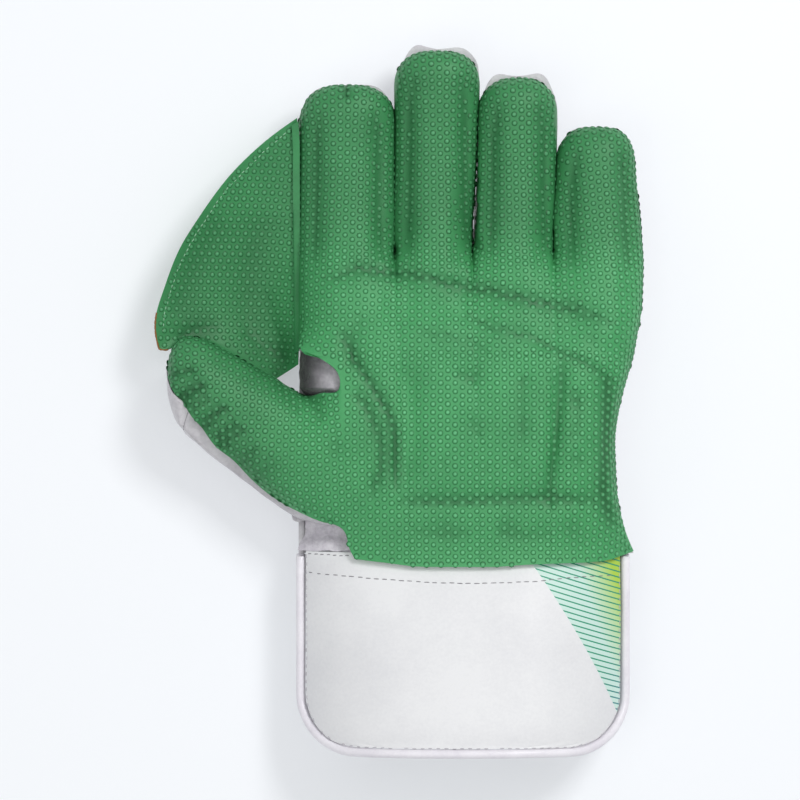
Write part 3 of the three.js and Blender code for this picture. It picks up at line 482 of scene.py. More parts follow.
def stripedWedge(tree, coords, plain):
    x, y = separate(tree, coords)
    # distance to the right of the wedge's slanting left side
    drop = mathNode(tree, "SUBTRACT", wristY * mm, y)
    fromStart = mathNode(tree, "SUBTRACT", x, stripes["startX"] * mm)
    straight = mathNode(tree, "MULTIPLY_ADD", drop, -stripes["lean"], fromStart)
    bowed = mathNode(tree, "MULTIPLY", drop, drop)
    edge = mathNode(tree, "MULTIPLY_ADD", bowed, stripes["bow"] / mm, straight)
    inside = mathNode(tree, "GREATER_THAN", edge, 0.0)
    climb = mathNode(tree, "MULTIPLY_ADD", x, stripes["slope"], y)
    turns = mathNode(tree, "MULTIPLY", climb, 1 / (stripes["pitch"] * mm))
    lines = mathNode(tree, "LESS_THAN", mathNode(tree, "FRACT", turns), stripes["share"])
    amounts = []
    for area in (limeArea, blueArea):
        slanted = mathNode(tree, "MULTIPLY_ADD", y, area["slope"], x)
        amounts.append(mapRange(tree, slanted, area["from"], area["to"]))
    ground = mixColors(tree, amounts[0], srgb(*stripes["ground"]), srgb(*stripes["lime"]))
    line = mixColors(tree, amounts[1], srgb(*stripes["line"]), srgb(*stripes["blue"]))
    return mixColors(tree, inside, plain, mixColors(tree, lines, ground, line))


def makeCuffVinyl(name, striped):
    material, tree, shader, coords = newMaterial(name, vinylLook)
    shader.inputs["Coat Weight"].default_value = vinylLook["coat"]
    color = wear(tree, coords, vinylLook, srgb(*vinylLook["color"]))
    if striped:
        color = stripedWedge(tree, coords, color)
    tree.links.new(color, shader.inputs["Base Color"])
    addGrain(tree, shader, coords, vinylLook)
    return material


# the piping, the threads, the green lap and the web's cut edge differ in these alone
plainFinishes = {
    "pipingVinyl": {"color": (240, 237, 242), "dark": (214, 208, 218), "roughness": 0.35, "bump": 0.15},
    "greyThread": {"color": (150, 148, 152), "dark": (96, 94, 100), "roughness": 0.8, "bump": 0.5},
    "paleThread": {"color": (192, 189, 195), "dark": (150, 147, 154), "roughness": 0.8, "bump": 0.5},
    "webThread": {"color": (158, 206, 172), "dark": (110, 160, 124), "roughness": 0.8, "bump": 0.5},
    "lapRubber": {"color": (52, 138, 80), "dark": (38, 104, 60), "roughness": 0.5, "bump": 0.3},
    "rawEdge": {"color": (150, 104, 62), "dark": (104, 74, 40), "roughness": 0.9, "bump": 0.6},
}
sharedFinish = {"patches": 60.0, "wear": 0.5, "twist": 1800.0, "bumpDepth": 0.0001}


def makePlain(name):
    finish = {**sharedFinish, **plainFinishes[name]}
    material, tree, shader, coords = newMaterial(name, finish)
    tree.links.new(wear(tree, coords, finish, srgb(*finish["color"])), shader.inputs["Base Color"])
    twist = addNode(tree, "ShaderNodeTexNoise", Vector=coords, Scale=finish["twist"], Detail=3.0)
    addBump(tree, shader, twist.outputs["Fac"], finish["bump"], finish["bumpDepth"])
    return material


rubber = makeRubber("greenRubber", False)
pimpleRubber = makeRubber("greenPimples", True)
whiteLeather = makeWhiteLeather()
greySuede = makeSuede("greySuede", None)
crotchLeather = makeSuede("crotchLeather", crotchShade)
cuffFrontVinyl = makeCuffVinyl("cuffFrontVinyl", True)
cuffBackVinyl = makeCuffVinyl("cuffBackVinyl", False)
plain = {name: makePlain(name) for name in plainFinishes}
print("materials done")


# soft pieces: a copy of each solid, smoothed and then pressed, folded and gathered

def copyOfNode(node, name):
    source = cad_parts[node]
    obj = bpy.data.objects.new(name, source.data.copy())
    bpy.context.scene.collection.objects.link(obj)
    makeActive(obj)
    bpy.ops.object.mode_set(mode="EDIT")
    bpy.ops.mesh.select_all(action="SELECT")
    bpy.ops.mesh.remove_doubles(threshold=0.00002)
    bpy.ops.mesh.tris_convert_to_quads(face_threshold=math.radians(70), shape_threshold=math.radians(70))
    bpy.ops.object.mode_set(mode="OBJECT")
    return obj


def creaseRims(obj, angle=50, amount=1.0):
    # the cut edges of the sheet stay crisp while the rest is rounded
    mesh = bmesh.new()
    mesh.from_mesh(obj.data)
    layer = mesh.edges.layers.float.get("crease_edge") or mesh.edges.layers.float.new("crease_edge")
    for edge in mesh.edges:
        if len(edge.link_faces) == 2 and edge.calc_face_angle(0) > math.radians(angle) and edge.is_convex:
            edge[layer] = amount
    mesh.to_mesh(obj.data)
    mesh.free()


def subdivide(obj, levels, tries=3):
    # a smooth surface shrinks inside its cage, so the cage is first pushed out
    # until that surface passes through the solid's own points
    target = coordinates(obj)
    cage = target.copy()
    makeActive(obj)
    modifier = obj.modifiers.new("smooth", "SUBSURF")
    modifier.levels = levels
    modifier.render_levels = levels
    for _ in range(tries):
        shown = obj.evaluated_get(bpy.context.evaluated_depsgraph_get())
        reached = np.empty(len(shown.data.vertices) * 3)
        shown.data.vertices.foreach_get("co", reached)
        cage += target - reached.reshape(-1, 3)[:len(target)]
        setCoordinates(obj, cage)
    bpy.ops.object.modifier_apply(modifier=modifier.name)


def softCopy(node, name, levels, rimAngle=50, crispness=1.0):
    piece = copyOfNode(node, name)
    creaseRims(piece, rimAngle, crispness)
    subdivide(piece, levels)
    return piece


def crumple(obj, amount, size, seed):
    # a slow random swell along the normals, so that no leather is perfectly smooth
    points = coordinates(obj)
    out = normals(obj)
    start = Vector((seed, 0, 0))
    move = np.array([noise.noise(Vector(point / (size * mm)) + start) for point in points]) * amount * mm
    setCoordinates(obj, points + out * move[:, None])


def finishPiece(obj, material, *nodes, slot=None, angle=40):
    obj.data.materials.clear()
    obj.data.materials.append(material)
    makeActive(obj)
    bpy.ops.object.shade_smooth_by_angle(angle=math.radians(angle))
    if nodes:
        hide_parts(*nodes)
    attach(obj, "root")
    deselectAll()


# folds and dimples

foldEnds = {"from": 0, "to": 1, "fadeIn": 0.15, "fadeOut": 0.15}  # shares of the fold's length
foldShape = {"sharp": 0.62, "broad": 0.38, "broadening": 2.6}  # shares of its depth; the broad part's width


def distanceToPath(points, path):
    # distance in plan to a path, and how far along it, from 0 to 1
    path = np.array(path, float)
    best = np.full(len(points), np.inf)
    along = np.zeros(len(points))
    runs = np.linalg.norm(np.diff(path, axis=0), axis=1)
    before = 0.0
    for a, b, run in zip(path[:-1], path[1:], runs):
        t = np.clip(((points - a) @ (b - a)) / (run * run), 0, 1)
        distance = np.linalg.norm(points - (a + t[:, None] * (b - a)), axis=1)
        closer = distance < best
        best[closer] = distance[closer]
        along[closer] = (before + t[closer] * run) / runs.sum()
        before += run
    return best, along


def pressFolds(obj, folds, dimples):
    # pushes both faces of the sheet down, and gives how deep in millimetres
    points = coordinates(obj)
    plan = planOf(points)
    depth = np.zeros(len(points))
    for fold in folds:
        distance, along = distanceToPath(plan, fold["path"])
        ends = np.sqrt(within(along, foldEnds))
        sharp = foldShape["sharp"] * bell(distance, fold["width"])
        broad = foldShape["broad"] * bell(distance, foldShape["broadening"] * fold["width"])
        depth += fold["depth"] * (sharp + broad) * ends
    for x, y, deep, radius in dimples:
        depth += deep * bell(np.linalg.norm(plan - np.array([x, y]), axis=1), radius)
    points[:, 2] -= depth * mm
    setCoordinates(obj, points)
    return depth


# the flat rubber, which the pimples' lattice is laid on

def outerFaces(obj, angle, lowest=-0.25):
    # the faces of the sheet's outer side, found from those that look up, as far as its rims
    mesh = bmesh.new()
    mesh.from_mesh(obj.data)
    mesh.faces.ensure_lookup_table()
    found = {face.index for face in mesh.faces if face.normal.z > 0.6}
    queue = deque(found)
    while queue:
        for edge in mesh.faces[queue.popleft()].edges:
            isRim = edge.is_convex and edge.calc_face_angle(0) > math.radians(angle)
            if len(edge.link_faces) != 2 or isRim:
                continue
            for other in edge.link_faces:
                if other.index not in found and other.normal.z > lowest:
                    found.add(other.index)
                    queue.append(other.index)
    mesh.free()
    return sorted(found)


def easePlan(places, springs, rounds=2400, stride=1.6):
    # moves the plan of the points until the springs between them have their true lengths
    laid = places[:, :2].copy()
    first, second = springs[:, 0], springs[:, 1]
    rest = np.linalg.norm(places[first] - places[second], axis=1)
    count = np.bincount(first, minlength=len(places)) + np.bincount(second, minlength=len(places))
    share = np.maximum(count, 1)
    for _ in range(rounds):
        run = laid[second] - laid[first]
        length = np.maximum(np.linalg.norm(run, axis=1), 1e-7)
        push = run * (0.5 * (length - rest) / length)[:, None]
        for axis in (0, 1):
            away = np.bincount(first, push[:, axis], len(places))
            back = np.bincount(second, push[:, axis], len(places))
            laid[:, axis] += stride * (away - back) / share
    stretch = np.abs(np.linalg.norm(laid[second] - laid[first], axis=1) / rest - 1).mean()
    return laid, stretch


def turnFlat(laid, places, near, heading):
    # turns the flat sheet, and mirrors it if need be, to lie over its plan with the heading upwards
    seen = (places[near, 0] + 1j * places[near, 1]) * np.exp(1j * math.atan2(heading[0], heading[1]))
    best, bestFit = None, -1.0
    for mirror in (1, -1):
        spot = laid[:, 0] + 1j * mirror * laid[:, 1]
        spot -= spot[near].mean()
        fit = (np.conj(spot[near]) * (seen - seen.mean())).sum()
        if abs(fit) > bestFit:
            best, bestFit = spot * fit / abs(fit), abs(fit)
    return best


def flatten(obj, look):
    # lays the sheet's outer side flat, as the rubber was before it was sewn. The flat places are
    # kept as UVs in metres, and the outer faces are marked by their material index.
    faceIndices = outerFaces(obj, look["corner"])
    places = coordinates(obj)
    used = np.zeros(len(places), bool)
    layer = obj.data.uv_layers.new(name="flat").data
    for polygon in obj.data.polygons:
        polygon.material_index = 0
    springs = set()
    for index in faceIndices:
        polygon = obj.data.polygons[index]
        polygon.material_index = 1
        corners = list(polygon.vertices)
        used[corners] = True
        springs.update((a, b) for a in corners for b in corners if a < b)
    laid, stretch = easePlan(places, np.array(sorted(springs)))
    middle = np.array(at(*look["flatMiddle"])[:2])
    near = used & (np.linalg.norm(places[:, :2] - middle, axis=1) < look["flatReach"] * mm)
    turned = turnFlat(laid, places, near, look["heading"])
    for index in faceIndices:
        for loop in obj.data.polygons[index].loop_indices:
            spot = turned[obj.data.loops[loop].vertex_index]
            layer[loop].uv = (spot.real, spot.imag)
    print(obj.name, "laid flat, mean stretch", stretch)


def readFlat(obj):
    # the outer faces of the smoothed sheet, and each point's place on the flat rubber
    laid = np.zeros((len(obj.data.vertices), 2))
    layer = obj.data.uv_layers["flat"]
    outer = [polygon.index for polygon in obj.data.polygons if polygon.material_index == 1]
    for index in outer:
        for loop in obj.data.polygons[index].loop_indices:
            laid[obj.data.loops[loop].vertex_index] = layer.data[loop].uv
    for polygon in obj.data.polygons:
        polygon.material_index = 0
    obj.data.uv_layers.remove(layer)
    return outer, laid


# the palm facing

palmLook = {
    "corner": 78,  # degrees: the outer side ends where the sheet turns more than this
    "flatMiddle": (2, 62),
    "flatReach": 40,
    "heading": (0, 1),
    "levels": 2,
    "swell": 0.35,
    "swellSize": 16,
    "seed": 3,
    "darkest": 2.0,  # millimetres pressed in where the folds are darkest
}
crotchY = 142  # the fingers part here
fingerPartings = (-31.3, 7.6, 43.0)
indexSeam = {"x": -75.6, "from": 95, "to": 208, "fadeIn": 6, "fadeOut": 10}  # the web is sewn on here
thumbRim = [(-127, 99.4), (-118, 96), (-105, 90.5), (-95, 86), (-86, 82)]  # the thumb's edge, on the web
slits = {
    "reach": 3.0,
    "closing": 0.9,
    "deepestY": 156,  # the slits close most here
    "deepReach": 16,
    "deepShare": 0.8,
    "seamClosing": 1.15,
    "thumbClosing": 0.9,
    "thumbHeading": (0.38, 0.92),
}


def closeSlits(obj):
    # the rubber's edges swell to close the slits between the fingers, at the web's seam and by the thumb
    points = coordinates(obj)
    plan = planOf(points)
    x, y = plan[:, 0], plan[:, 1]
    shift = np.zeros(len(points))
    closing = slits["closing"] * (1 + slits["deepShare"] * bell(y - slits["deepestY"], slits["deepReach"]))
    for parting in fingerPartings:
        away = x - parting
        shift -= np.sign(away) * closing * bell(away, slits["reach"]) * (y > crotchY)
    onFinger = within(y, indexSeam) * (x > indexSeam["x"] - 1)
    shift -= slits["seamClosing"] * bell(x - indexSeam["x"], slits["reach"]) * onFinger
    points[:, 0] += shift * mm
    distance, _ = distanceToPath(plan, thumbRim)
    swell = slits["thumbClosing"] * bell(distance, slits["reach"])
    points[:, :2] += np.outer(swell * mm, slits["thumbHeading"])
    setCoordinates(obj, points)


thumbBranch = {"x": -54, "reach": 5, "from": 6, "to": 82, "fadeIn": 10, "fadeOut": 6}
fingerBranch = {"reach": 4, "from": 88, "to": 137, "fadeIn": 10, "fadeOut": 6}
easing = {"least": 0.03, "factor": 0.6, "rounds": 30}


def easeBranches(obj):
    # one sheet of rubber has no ridge where the thumb and the fingers branch off
    x, y = planOf(coordinates(obj)).T
    weight = bell(x - thumbBranch["x"], thumbBranch["reach"]) * within(y, thumbBranch)
    for parting in fingerPartings:
        weight = np.maximum(weight, bell(x - parting, fingerBranch["reach"]) * within(y, fingerBranch))
    group = obj.vertex_groups.new(name="eased")
    for index in np.nonzero(weight > easing["least"])[0]:
        group.add([int(index)], float(weight[index]), "REPLACE")
    makeActive(obj)
    modifier = obj.modifiers.new("ease", "SMOOTH")
    modifier.factor = easing["factor"]
    modifier.iterations = easing["rounds"]
    modifier.vertex_group = "eased"
    bpy.ops.object.modifier_apply(modifier="ease")
    obj.vertex_groups.clear()


palmFolds = [
    {"depth": 2.1, "width": 2.0, "path": [
        (-66, 126), (-57, 128.5), (-49, 132), (-38, 130.5), (-24, 129), (-15, 127.5), (-6, 124.5), (8, 122.5),
        (19, 120), (31, 117), (40, 115), (49, 113.5), (58, 110.5), (69, 106.5)]},
    {"depth": 1.3, "width": 1.6, "path": [
        (-2, 111), (15.6, 104), (29.4, 100.7), (40.9, 94.8), (49.2, 91.5), (57, 87.9), (63.9, 82.3),
        (66.2, 76)]},
    {"depth": 2.1, "width": 1.6, "path": [
        (-57, 105), (-49, 89), (-42, 78.7), (-33.6, 65), (-31.3, 54.7), (-31.3, 41), (-30.4, 30)]},
    {"depth": 1.7, "width": 2.1, "path": [
        (-51, 76.4), (-44.2, 68.5), (-39.6, 58), (-37.3, 48.8), (-37.7, 39.6), (-43, 27)]},
    {"depth": 2.1, "width": 1.6, "path": [(-31, 26), (0, 26), (37.7, 27), (61, 26)]},
    {"depth": 1.5, "width": 1.5, "path": [
        (44.6, 92), (44.2, 76), (42.3, 58), (40, 42), (38.6, 28), (40, 20)]},
    {"depth": 2.2, "width": 2.6, "path": [(66.2, 84), (65.3, 62.6), (64.9, 46.5), (63.5, 30), (68.5, 12)]},
]
palmCreases = [
    [(27, 83), (25.5, 68), (27, 60), (25, 50)],
    [(50, 78), (52, 64), (49.5, 52)],
    [(3, 63), (7.8, 54)],
    [(-24, 13), (-10, 10), (3, 11)],
    [(14, 12), (28, 9.5), (40, 11)],
    [(-4, 84), (6, 80.5)],
    [(-22, 104), (-4, 100), (12, 94)],
    [(-46, 112), (-52, 98), (-50, 86)],
]
crease = {"depth": 0.75, "width": 2.2}
indexPleat = {"path": [(-53.4, 218), (-53.4, 214), (-53.2, 209.5)], "depth": 2.2, "width": 0.9}
fingerFlanks = [
    {"middle": -53.1, "side": 14.4, "from": 134, "to": 205},
    {"middle": -12.0, "side": 12.8, "from": 138, "to": 221},
    {"middle": 25.3, "side": 11.5, "from": 138, "to": 209},
    {"middle": 62.0, "side": 12.0, "from": 130, "to": 187},
]
flankFold = {"lean": 1.2, "fadeIn": 22, "fadeOut": 18, "depth": 1.2, "width": 1.6}
thumbFolds = [
    {"path": [(-131, 71), (-124, 76), (-117, 79.5)], "depth": 2.6, "width": 1.5},
    {"path": [(-127, 65.5), (-121, 70), (-115, 73.5)], "depth": 1.4, "width": 1.2},
    {"path": [(-120.5, 57.5), (-114, 65), (-107, 69.5)], "depth": 2.1, "width": 1.6},
    {"path": [(-114, 53), (-108.5, 58), (-103, 61)], "depth": 1.3, "width": 1.4},
    {"path": [(-110.9, 49.5), (-105, 55.5), (-99.5, 59.5)], "depth": 1.7, "width": 1.5},
    {"path": [(-134.5, 82), (-129, 84.5), (-122, 85.5)], "depth": 1.6, "width": 1.3},
    {"path": [(-103, 42), (-98, 47), (-93, 50)], "depth": 1.0, "width": 1.6},
    {"path": [(-95, 35), (-91, 40.5), (-86, 44)], "depth": 0.9, "width": 1.6},
    {"path": [(-87, 81), (-80, 72), (-74, 66)], "depth": 0.8, "width": 1.8},
    {"path": [(-75, 77), (-69, 70), (-64, 62)], "depth": 0.7, "width": 1.8},
]
# each dimple's place, depth and radius
palmDimples = [
    (51.5, 70.8, 0.8, 3.2), (51.5, 44.2, 0.8, 3.4), (58.4, 99.4, 0.6, 3.5), (42.3, 104, 0.4, 3),
    (5.5, 82.3, 0.6, 4), (27, 81, 0.55, 3), (27, 60, 0.5, 3), (24, 43, 0.6, 3.2), (8.7, 41, 0.5, 3.5),
    (-9.7, 43, 0.5, 3.5), (-8.3, 13.8, 0.7, 5), (20.2, 13.8, 0.6, 5), (50, 13.3, 0.5, 4.5),
    (-59, 50, 0.8, 4.5),
]


def flankFolds():
    # a long shallow fold down each side of each finger
    folds = []
    for flank in fingerFlanks:
        for side in (-1, 1):
            x = flank["middle"] + side * flank["side"]
            lean = -side * flankFold["lean"]
            path = [
                (x - lean, flank["from"]),
                (x, flank["from"] + flankFold["fadeIn"]),
                (x, flank["to"] - flankFold["fadeOut"]),
                (x + 2 * lean, flank["to"]),
            ]
            folds.append({"path": path, "depth": flankFold["depth"], "width": flankFold["width"]})
    return folds


allPalmFolds = palmFolds + [{"path": path, **crease} for path in palmCreases]
allPalmFolds += [indexPleat] + flankFolds() + thumbFolds
palm = copyOfNode("palm_facing", "palmFacing")
flatten(palm, palmLook)
creaseRims(palm)
subdivide(palm, palmLook["levels"])
palmOuter, palmFlat = readFlat(palm)
easeBranches(palm)
closeSlits(palm)
palmPressed = pressFolds(palm, allPalmFolds, palmDimples)
crumple(palm, palmLook["swell"], palmLook["swellSize"], palmLook["seed"])
# kept for the painted shade that darkens the rubber in the folds
setPointValues(palm, "pressed", np.clip(palmPressed / palmLook["darkest"], 0, 1))
finishPiece(palm, rubber, "palm_facing", slot="pimpled_rubber")
print("palm facing done,", len(palm.data.polygons), "faces")


# the web

webLook = {"corner": 65, "flatMiddle": (-104, 130), "flatReach": 40, "heading": (0.62, 1), "levels": 2,
           "darkest": 2.4}
webFolds = [
    {"path": [(-80, 90), (-90, 96), (-102, 104)], "depth": 0.8, "width": 2.2},
    {"path": [(-82, 96), (-88, 108), (-92, 124)], "depth": 0.5, "width": 2.6},
    {"path": [(-132, 100), (-124, 104), (-112, 106)], "depth": 0.9, "width": 2.0},
    {"path": [(-133, 110), (-124, 134), (-110, 156)], "depth": 0.9, "width": 5.5},
    {"path": [(-97, 100), (-99, 128), (-93, 158)], "depth": 0.9, "width": 5.5},
]
webDimples = [(-86, 94, 1.2, 9), (-124, 103, 1.1, 9), (-84, 130, 0.6, 7)]

web = copyOfNode("web", "webSheet")
flatten(web, webLook)
creaseRims(web)
subdivide(web, webLook["levels"])
webOuter, webFlat = readFlat(web)
webPressed = pressFolds(web, webFolds, webDimples)
# kept for the painted shade that darkens the rubber in the folds
setPointValues(web, "pressed", np.clip(webPressed / webLook["darkest"], 0, 1))
finishPiece(web, rubber, "web", slot="pimpled_rubber")
print("web done")


# pimples: a regular lattice on the flat rubber, carried back on to the shaped sheet

pimple = {
    "pitch": 3.75,
    "radius": 1.16,
    "height": 0.48,
    "sides": 8,
    "palmMargin": 0.5,
    "webMargin": 1.8,
    "notchMargin": 1.7,
    "closest": 0.6,  # of a pitch, between two pimples
    "barest": 0.86,  # of a pitch, before a bare place gets one
    "slitMargin": 1.0,
    "slitSteepness": 0.3,  # the upward part of a normal that faces into a slit is less than this
}
notchRim = [
    (-78, 96), (-74, 93.8), (-66.7, 91.5), (-61.2, 88.3), (-57.5, 84.6), (-56.6, 81), (-58, 77.7),
    (-63.5, 75.9), (-75, 75.4),
]


def groupFingers(mesh, faceIndices):
    # laid flat, the fingers would lie over each other, so each is searched on its own
    groups = {}
    for index in faceIndices:
        face = mesh.polygons[index]
        corners = list(face.vertices)
        group = 0
        if face.center.y >= at(0, crotchY).y:
            group = 1 + sum(face.center.x > parting * mm for parting in fingerPartings)
        fan = [(corners[0], corners[k], corners[k + 1]) for k in range(1, len(corners) - 1)]
        groups.setdefault(group, []).extend(fan)
    return list(groups.values())


def flatTree(triangles, flat):
    used = sorted({v for triangle in triangles for v in triangle})
    number = {v: i for i, v in enumerate(used)}
    points = [(flat[v][0], flat[v][1], 0.0) for v in used]
    return BVHTree.FromPolygons(points, [tuple(number[v] for v in triangle) for triangle in triangles])


def treeOfBorder(mesh, faceIndices, places):
    # the ends and middles of the edges that only one of the faces has
    count = {}
    for index in faceIndices:
        corners = list(mesh.polygons[index].vertices)
        for a, b in zip(corners, corners[1:] + corners[:1]):
            edge = (min(a, b), max(a, b))
            count[edge] = count.get(edge, 0) + 1
    border = [edge for edge, faces in count.items() if faces == 1]
    tree = KDTree(2 * len(border))
    for i, (a, b) in enumerate(border):
        tree.insert(places[a], 2 * i)
        tree.insert((places[a] + places[b]) / 2, 2 * i + 1)
    tree.balance()
    return tree


def cornerShares(spot, a, b, c):
    # how much a spot in a flat triangle takes from each of its corners
    whole = (b[0] - a[0]) * (c[1] - a[1]) - (c[0] - a[0]) * (b[1] - a[1])
    second = ((spot.x - a[0]) * (c[1] - a[1]) - (c[0] - a[0]) * (spot.y - a[1])) / whole
    third = ((b[0] - a[0]) * (spot.y - a[1]) - (spot.x - a[0]) * (b[1] - a[1])) / whole
    return 1 - second - third, second, third


def pimpleAt(place, normal, depth):
    # one row of a lattice: place, normal, the way along the sheet towards the fingertips, fold's depth
    along = Vector((0, 1, 0)) - normal * normal.y
    return place, normal, along.normalized(), depth


def flatSpots(flat, used, pitch):
    # rows straight up the hand, every other one half a pitch higher
    low, high = flat[used].min(axis=0), flat[used].max(axis=0)
    across = pitch * math.sqrt(3) / 2
    for column in range(math.floor(low[0] / across), math.ceil(high[0] / across) + 1):
        for row in range(math.floor(low[1] / pitch) - 1, math.ceil(high[1] / pitch) + 1):
            yield Vector((column * across, (row + 0.5 * (column % 2)) * pitch, 0.01))


def layLattice(obj, faceIndices, flat, margin):
    mesh, places, out = obj.data, coordinates(obj), normals(obj)
    pitch = pimple["pitch"] * mm
    folded = np.zeros(len(places))
    mesh.attributes["pressed"].data.foreach_get("value", folded)
    groups = groupFingers(mesh, faceIndices)
    trees = [flatTree(triangles, flat) for triangles in groups]
    used = sorted({v for triangles in groups for triangle in triangles for v in triangle})
    borderTree = treeOfBorder(mesh, faceIndices, places)
    lattice = []
    for spot in flatSpots(flat, used, pitch):
        for tree, triangles in zip(trees, groups):
            hit, _, index, _ = tree.ray_cast(spot, Vector((0, 0, -1)), 0.02)
            if hit is None:
                continue
            corners = triangles[index]
            shares = cornerShares(spot, *(flat[v] for v in corners))
            place = Vector(sum(w * places[v] for w, v in zip(shares, corners)))
            normal = Vector(sum(w * out[v] for w, v in zip(shares, corners))).normalized()
            tooClose = any((place - row[0]).length < pitch * pimple["closest"] for row in lattice[-80:])
            if tooClose or borderTree.find(place)[2] < margin * mm:
                continue
            lattice.append(pimpleAt(place, normal, sum(w * folded[v] for w, v in zip(shares, corners))))
    fillBare(lattice, mesh, faceIndices, borderTree, out, folded, margin)
    return lattice


def fillBare(lattice, mesh, faceIndices, borderTree, out, folded, margin):
    # the lattice leaves bare places where the flat rubber was squeezed; the barest is filled first
    centers = np.array([mesh.polygons[index].center[:] for index in faceIndices])
    taken = KDTree(len(lattice))
    for i, row in enumerate(lattice):
        taken.insert(row[0], i)
    taken.balance()
    inside = [borderTree.find(center)[2] > margin * mm for center in centers]
    away = np.array([taken.find(center)[2] if isIn else 0.0 for center, isIn in zip(centers, inside)])
    before = len(lattice)
    while away.max() > pimple["barest"] * pimple["pitch"] * mm:
        chosen = int(away.argmax())
        corner = mesh.polygons[faceIndices[chosen]].vertices[0]
        lattice.append(pimpleAt(Vector(centers[chosen]), Vector(out[corner]), folded[corner]))
        away = np.minimum(away, np.linalg.norm(centers - centers[chosen], axis=1))
    print("bare places filled:", len(lattice) - before)


def domeShape(sides):
    # rings of share of radius and share of height, closed at the top
    rings = [(1.3, -0.25), (1.12, 0.14), (0.86, 0.5), (0.5, 0.86)]
    points, heights = [], []
    for share, rise in rings:
        for i in range(sides):
            angle = 2 * math.pi * i / sides
            points.append((share * math.cos(angle), share * math.sin(angle), rise))
            heights.append(max(0.0, rise))
    points.append((0, 0, 1.0))
    heights.append(1.0)
    faces = ringFaces(len(rings), sides)
    top = (len(rings) - 1) * sides
    for i in range(sides):
        faces.append((top + i, top + (i + 1) % sides, len(points) - 1))
    return np.array(points), np.array(heights), faces


def makePimples(name, lattice):
    shape, heights, faces = domeShape(pimple["sides"])
    rng = random.Random(11)
    allPoints, allFaces = [], []
    for i, (place, normal, along, _) in enumerate(lattice):
        side = normal.cross(along)
        girth = pimple["radius"] * (1 + rng.uniform(-0.06, 0.06))
        scaled = shape * np.array([girth, girth, pimple["height"]]) * mm
        allPoints.append(scaled @ np.array([along[:], side[:], normal[:]]) + np.array(place))
        allFaces += [tuple(v + i * len(shape) for v in face) for face in faces]
    obj = newObject(name, np.concatenate(allPoints).tolist(), allFaces)
    setPointValues(obj, "height", np.tile(heights, len(lattice)))
    # each pimple carries its fold's depth, for the painted shade in the folds
    setPointValues(obj, "pressed", np.repeat([row[3] for row in lattice], len(shape)))
    finishPiece(obj, pimpleRubber, slot="pimpled_rubber", angle=80)


def inSlit(place, normal):
    # no pimple stands where two fingers touch
    x, y = place.x / mm, place.y / mm - wristY
    beside = min(abs(x - line) for line in fingerPartings) if y > crotchY else abs(x - indexSeam["x"])
    isSteep = normal.z < pimple["slitSteepness"]
    return beside < pimple["slitMargin"] and isSteep and y > indexSeam["from"]


palmLattice = layLattice(palm, palmOuter, palmFlat, pimple["palmMargin"])
fromNotch, _ = distanceToPath(planOf(np.array([row[0] for row in palmLattice])), notchRim)
palmLattice = [row for row, distance in zip(palmLattice, fromNotch) if distance > pimple["notchMargin"]]
palmLattice = [row for row in palmLattice if not inSlit(row[0], row[1])]
makePimples("palmPimples", palmLattice)
webLattice = layLattice(web, webOuter, webFlat, pimple["webMargin"])
makePimples("webPimples", webLattice)
print("pimples done:", len(palmLattice), "on the palm,", len(webLattice), "on the web")


# the leather back of the hand, the fingers and the thumb

leatherPieces = {
    "hand_back": {"name": "handBack", "levels": 1, "swell": 0.5, "swellSize": 22, "fill": 0.6},
    "index_back": {"name": "indexBack", "levels": 2, "swell": 0.35, "swellSize": 9, "fill": 0.7},
    "middle_back": {"name": "middleBack", "levels": 2, "swell": 0.35, "swellSize": 9, "fill": 0.7},
    "ring_back": {"name": "ringBack", "levels": 2, "swell": 0.35, "swellSize": 9, "fill": 0.7},
    "little_back": {"name": "littleBack", "levels": 2, "swell": 0.35, "swellSize": 9, "fill": 0.7},
    "thumb_back": {"name": "thumbBack", "levels": 2, "swell": 0.45, "swellSize": 9, "fill": 0.6},
    "thumb_tip_back": {"name": "thumbTipBack", "levels": 2, "swell": 0.3, "swellSize": 8, "fill": 0.7},
}
firstSeed = 7
# the padding stands out in lobes past the tips of two fingers
tipLobes = {
    "middle_back": [(-19, 232), (3, 226)],
    "ring_back": [(14, 221), (33, 218), (36.5, 205)],
}
lobe = {"out": 1.7, "radius": 7.5, "upward": 11.0}


def swellLobes(obj, lobes):
    points = coordinates(obj)
    outward = normals(obj)
    plan = planOf(points)
    middle = plan[:, 0].mean()
    for x, y in lobes:
        weight = bell(np.linalg.norm(plan - np.array([x, y]), axis=1), lobe["radius"])
        heading = np.array([x - middle, lobe["upward"]])
        heading /= np.linalg.norm(heading)
        facing = np.clip(outward[:, :2] @ heading, 0, 1)
        points[:, :2] += np.outer(weight * facing * lobe["out"] * mm, heading)
    setCoordinates(obj, points)


backPieces = []
for index, (node, how) in enumerate(leatherPieces.items()):
    piece = softCopy(node, how["name"], how["levels"])
    swellLobes(piece, tipLobes.get(node, []))
    crumple(piece, how["swell"], how["swellSize"], firstSeed + index)
    finishPiece(piece, whiteLeather, node, slot="white_leather")
    backPieces.append(piece)
print("leather back done")


# the two gussets, and the lap that sews the web to the index finger

gussetLevels = 3
gussetSwells = [{"swell": 0.6, "size": 5, "seed": 0}, {"swell": 0.25, "size": 1.8, "seed": 10}]
lapLook = {"levels": 2, "widening": 0.5}


def makeGusset(node, name, material, seed):
    piece = softCopy(node, name, gussetLevels)
    for each in gussetSwells:
        crumple(piece, each["swell"], each["size"], seed + each["seed"])
    finishPiece(piece, material, node, slot="suede")
    return piece


def makeLap():
    lap = softCopy("web_seam_strip", "webSeamStrip", lapLook["levels"])
    points = coordinates(lap)
    points[:, 0] += lapLook["widening"] * mm * (points[:, 0] > np.median(points[:, 0]))
    setCoordinates(lap, points)
    finishPiece(lap, plain["lapRubber"], "web_seam_strip", slot="rubber_lap")


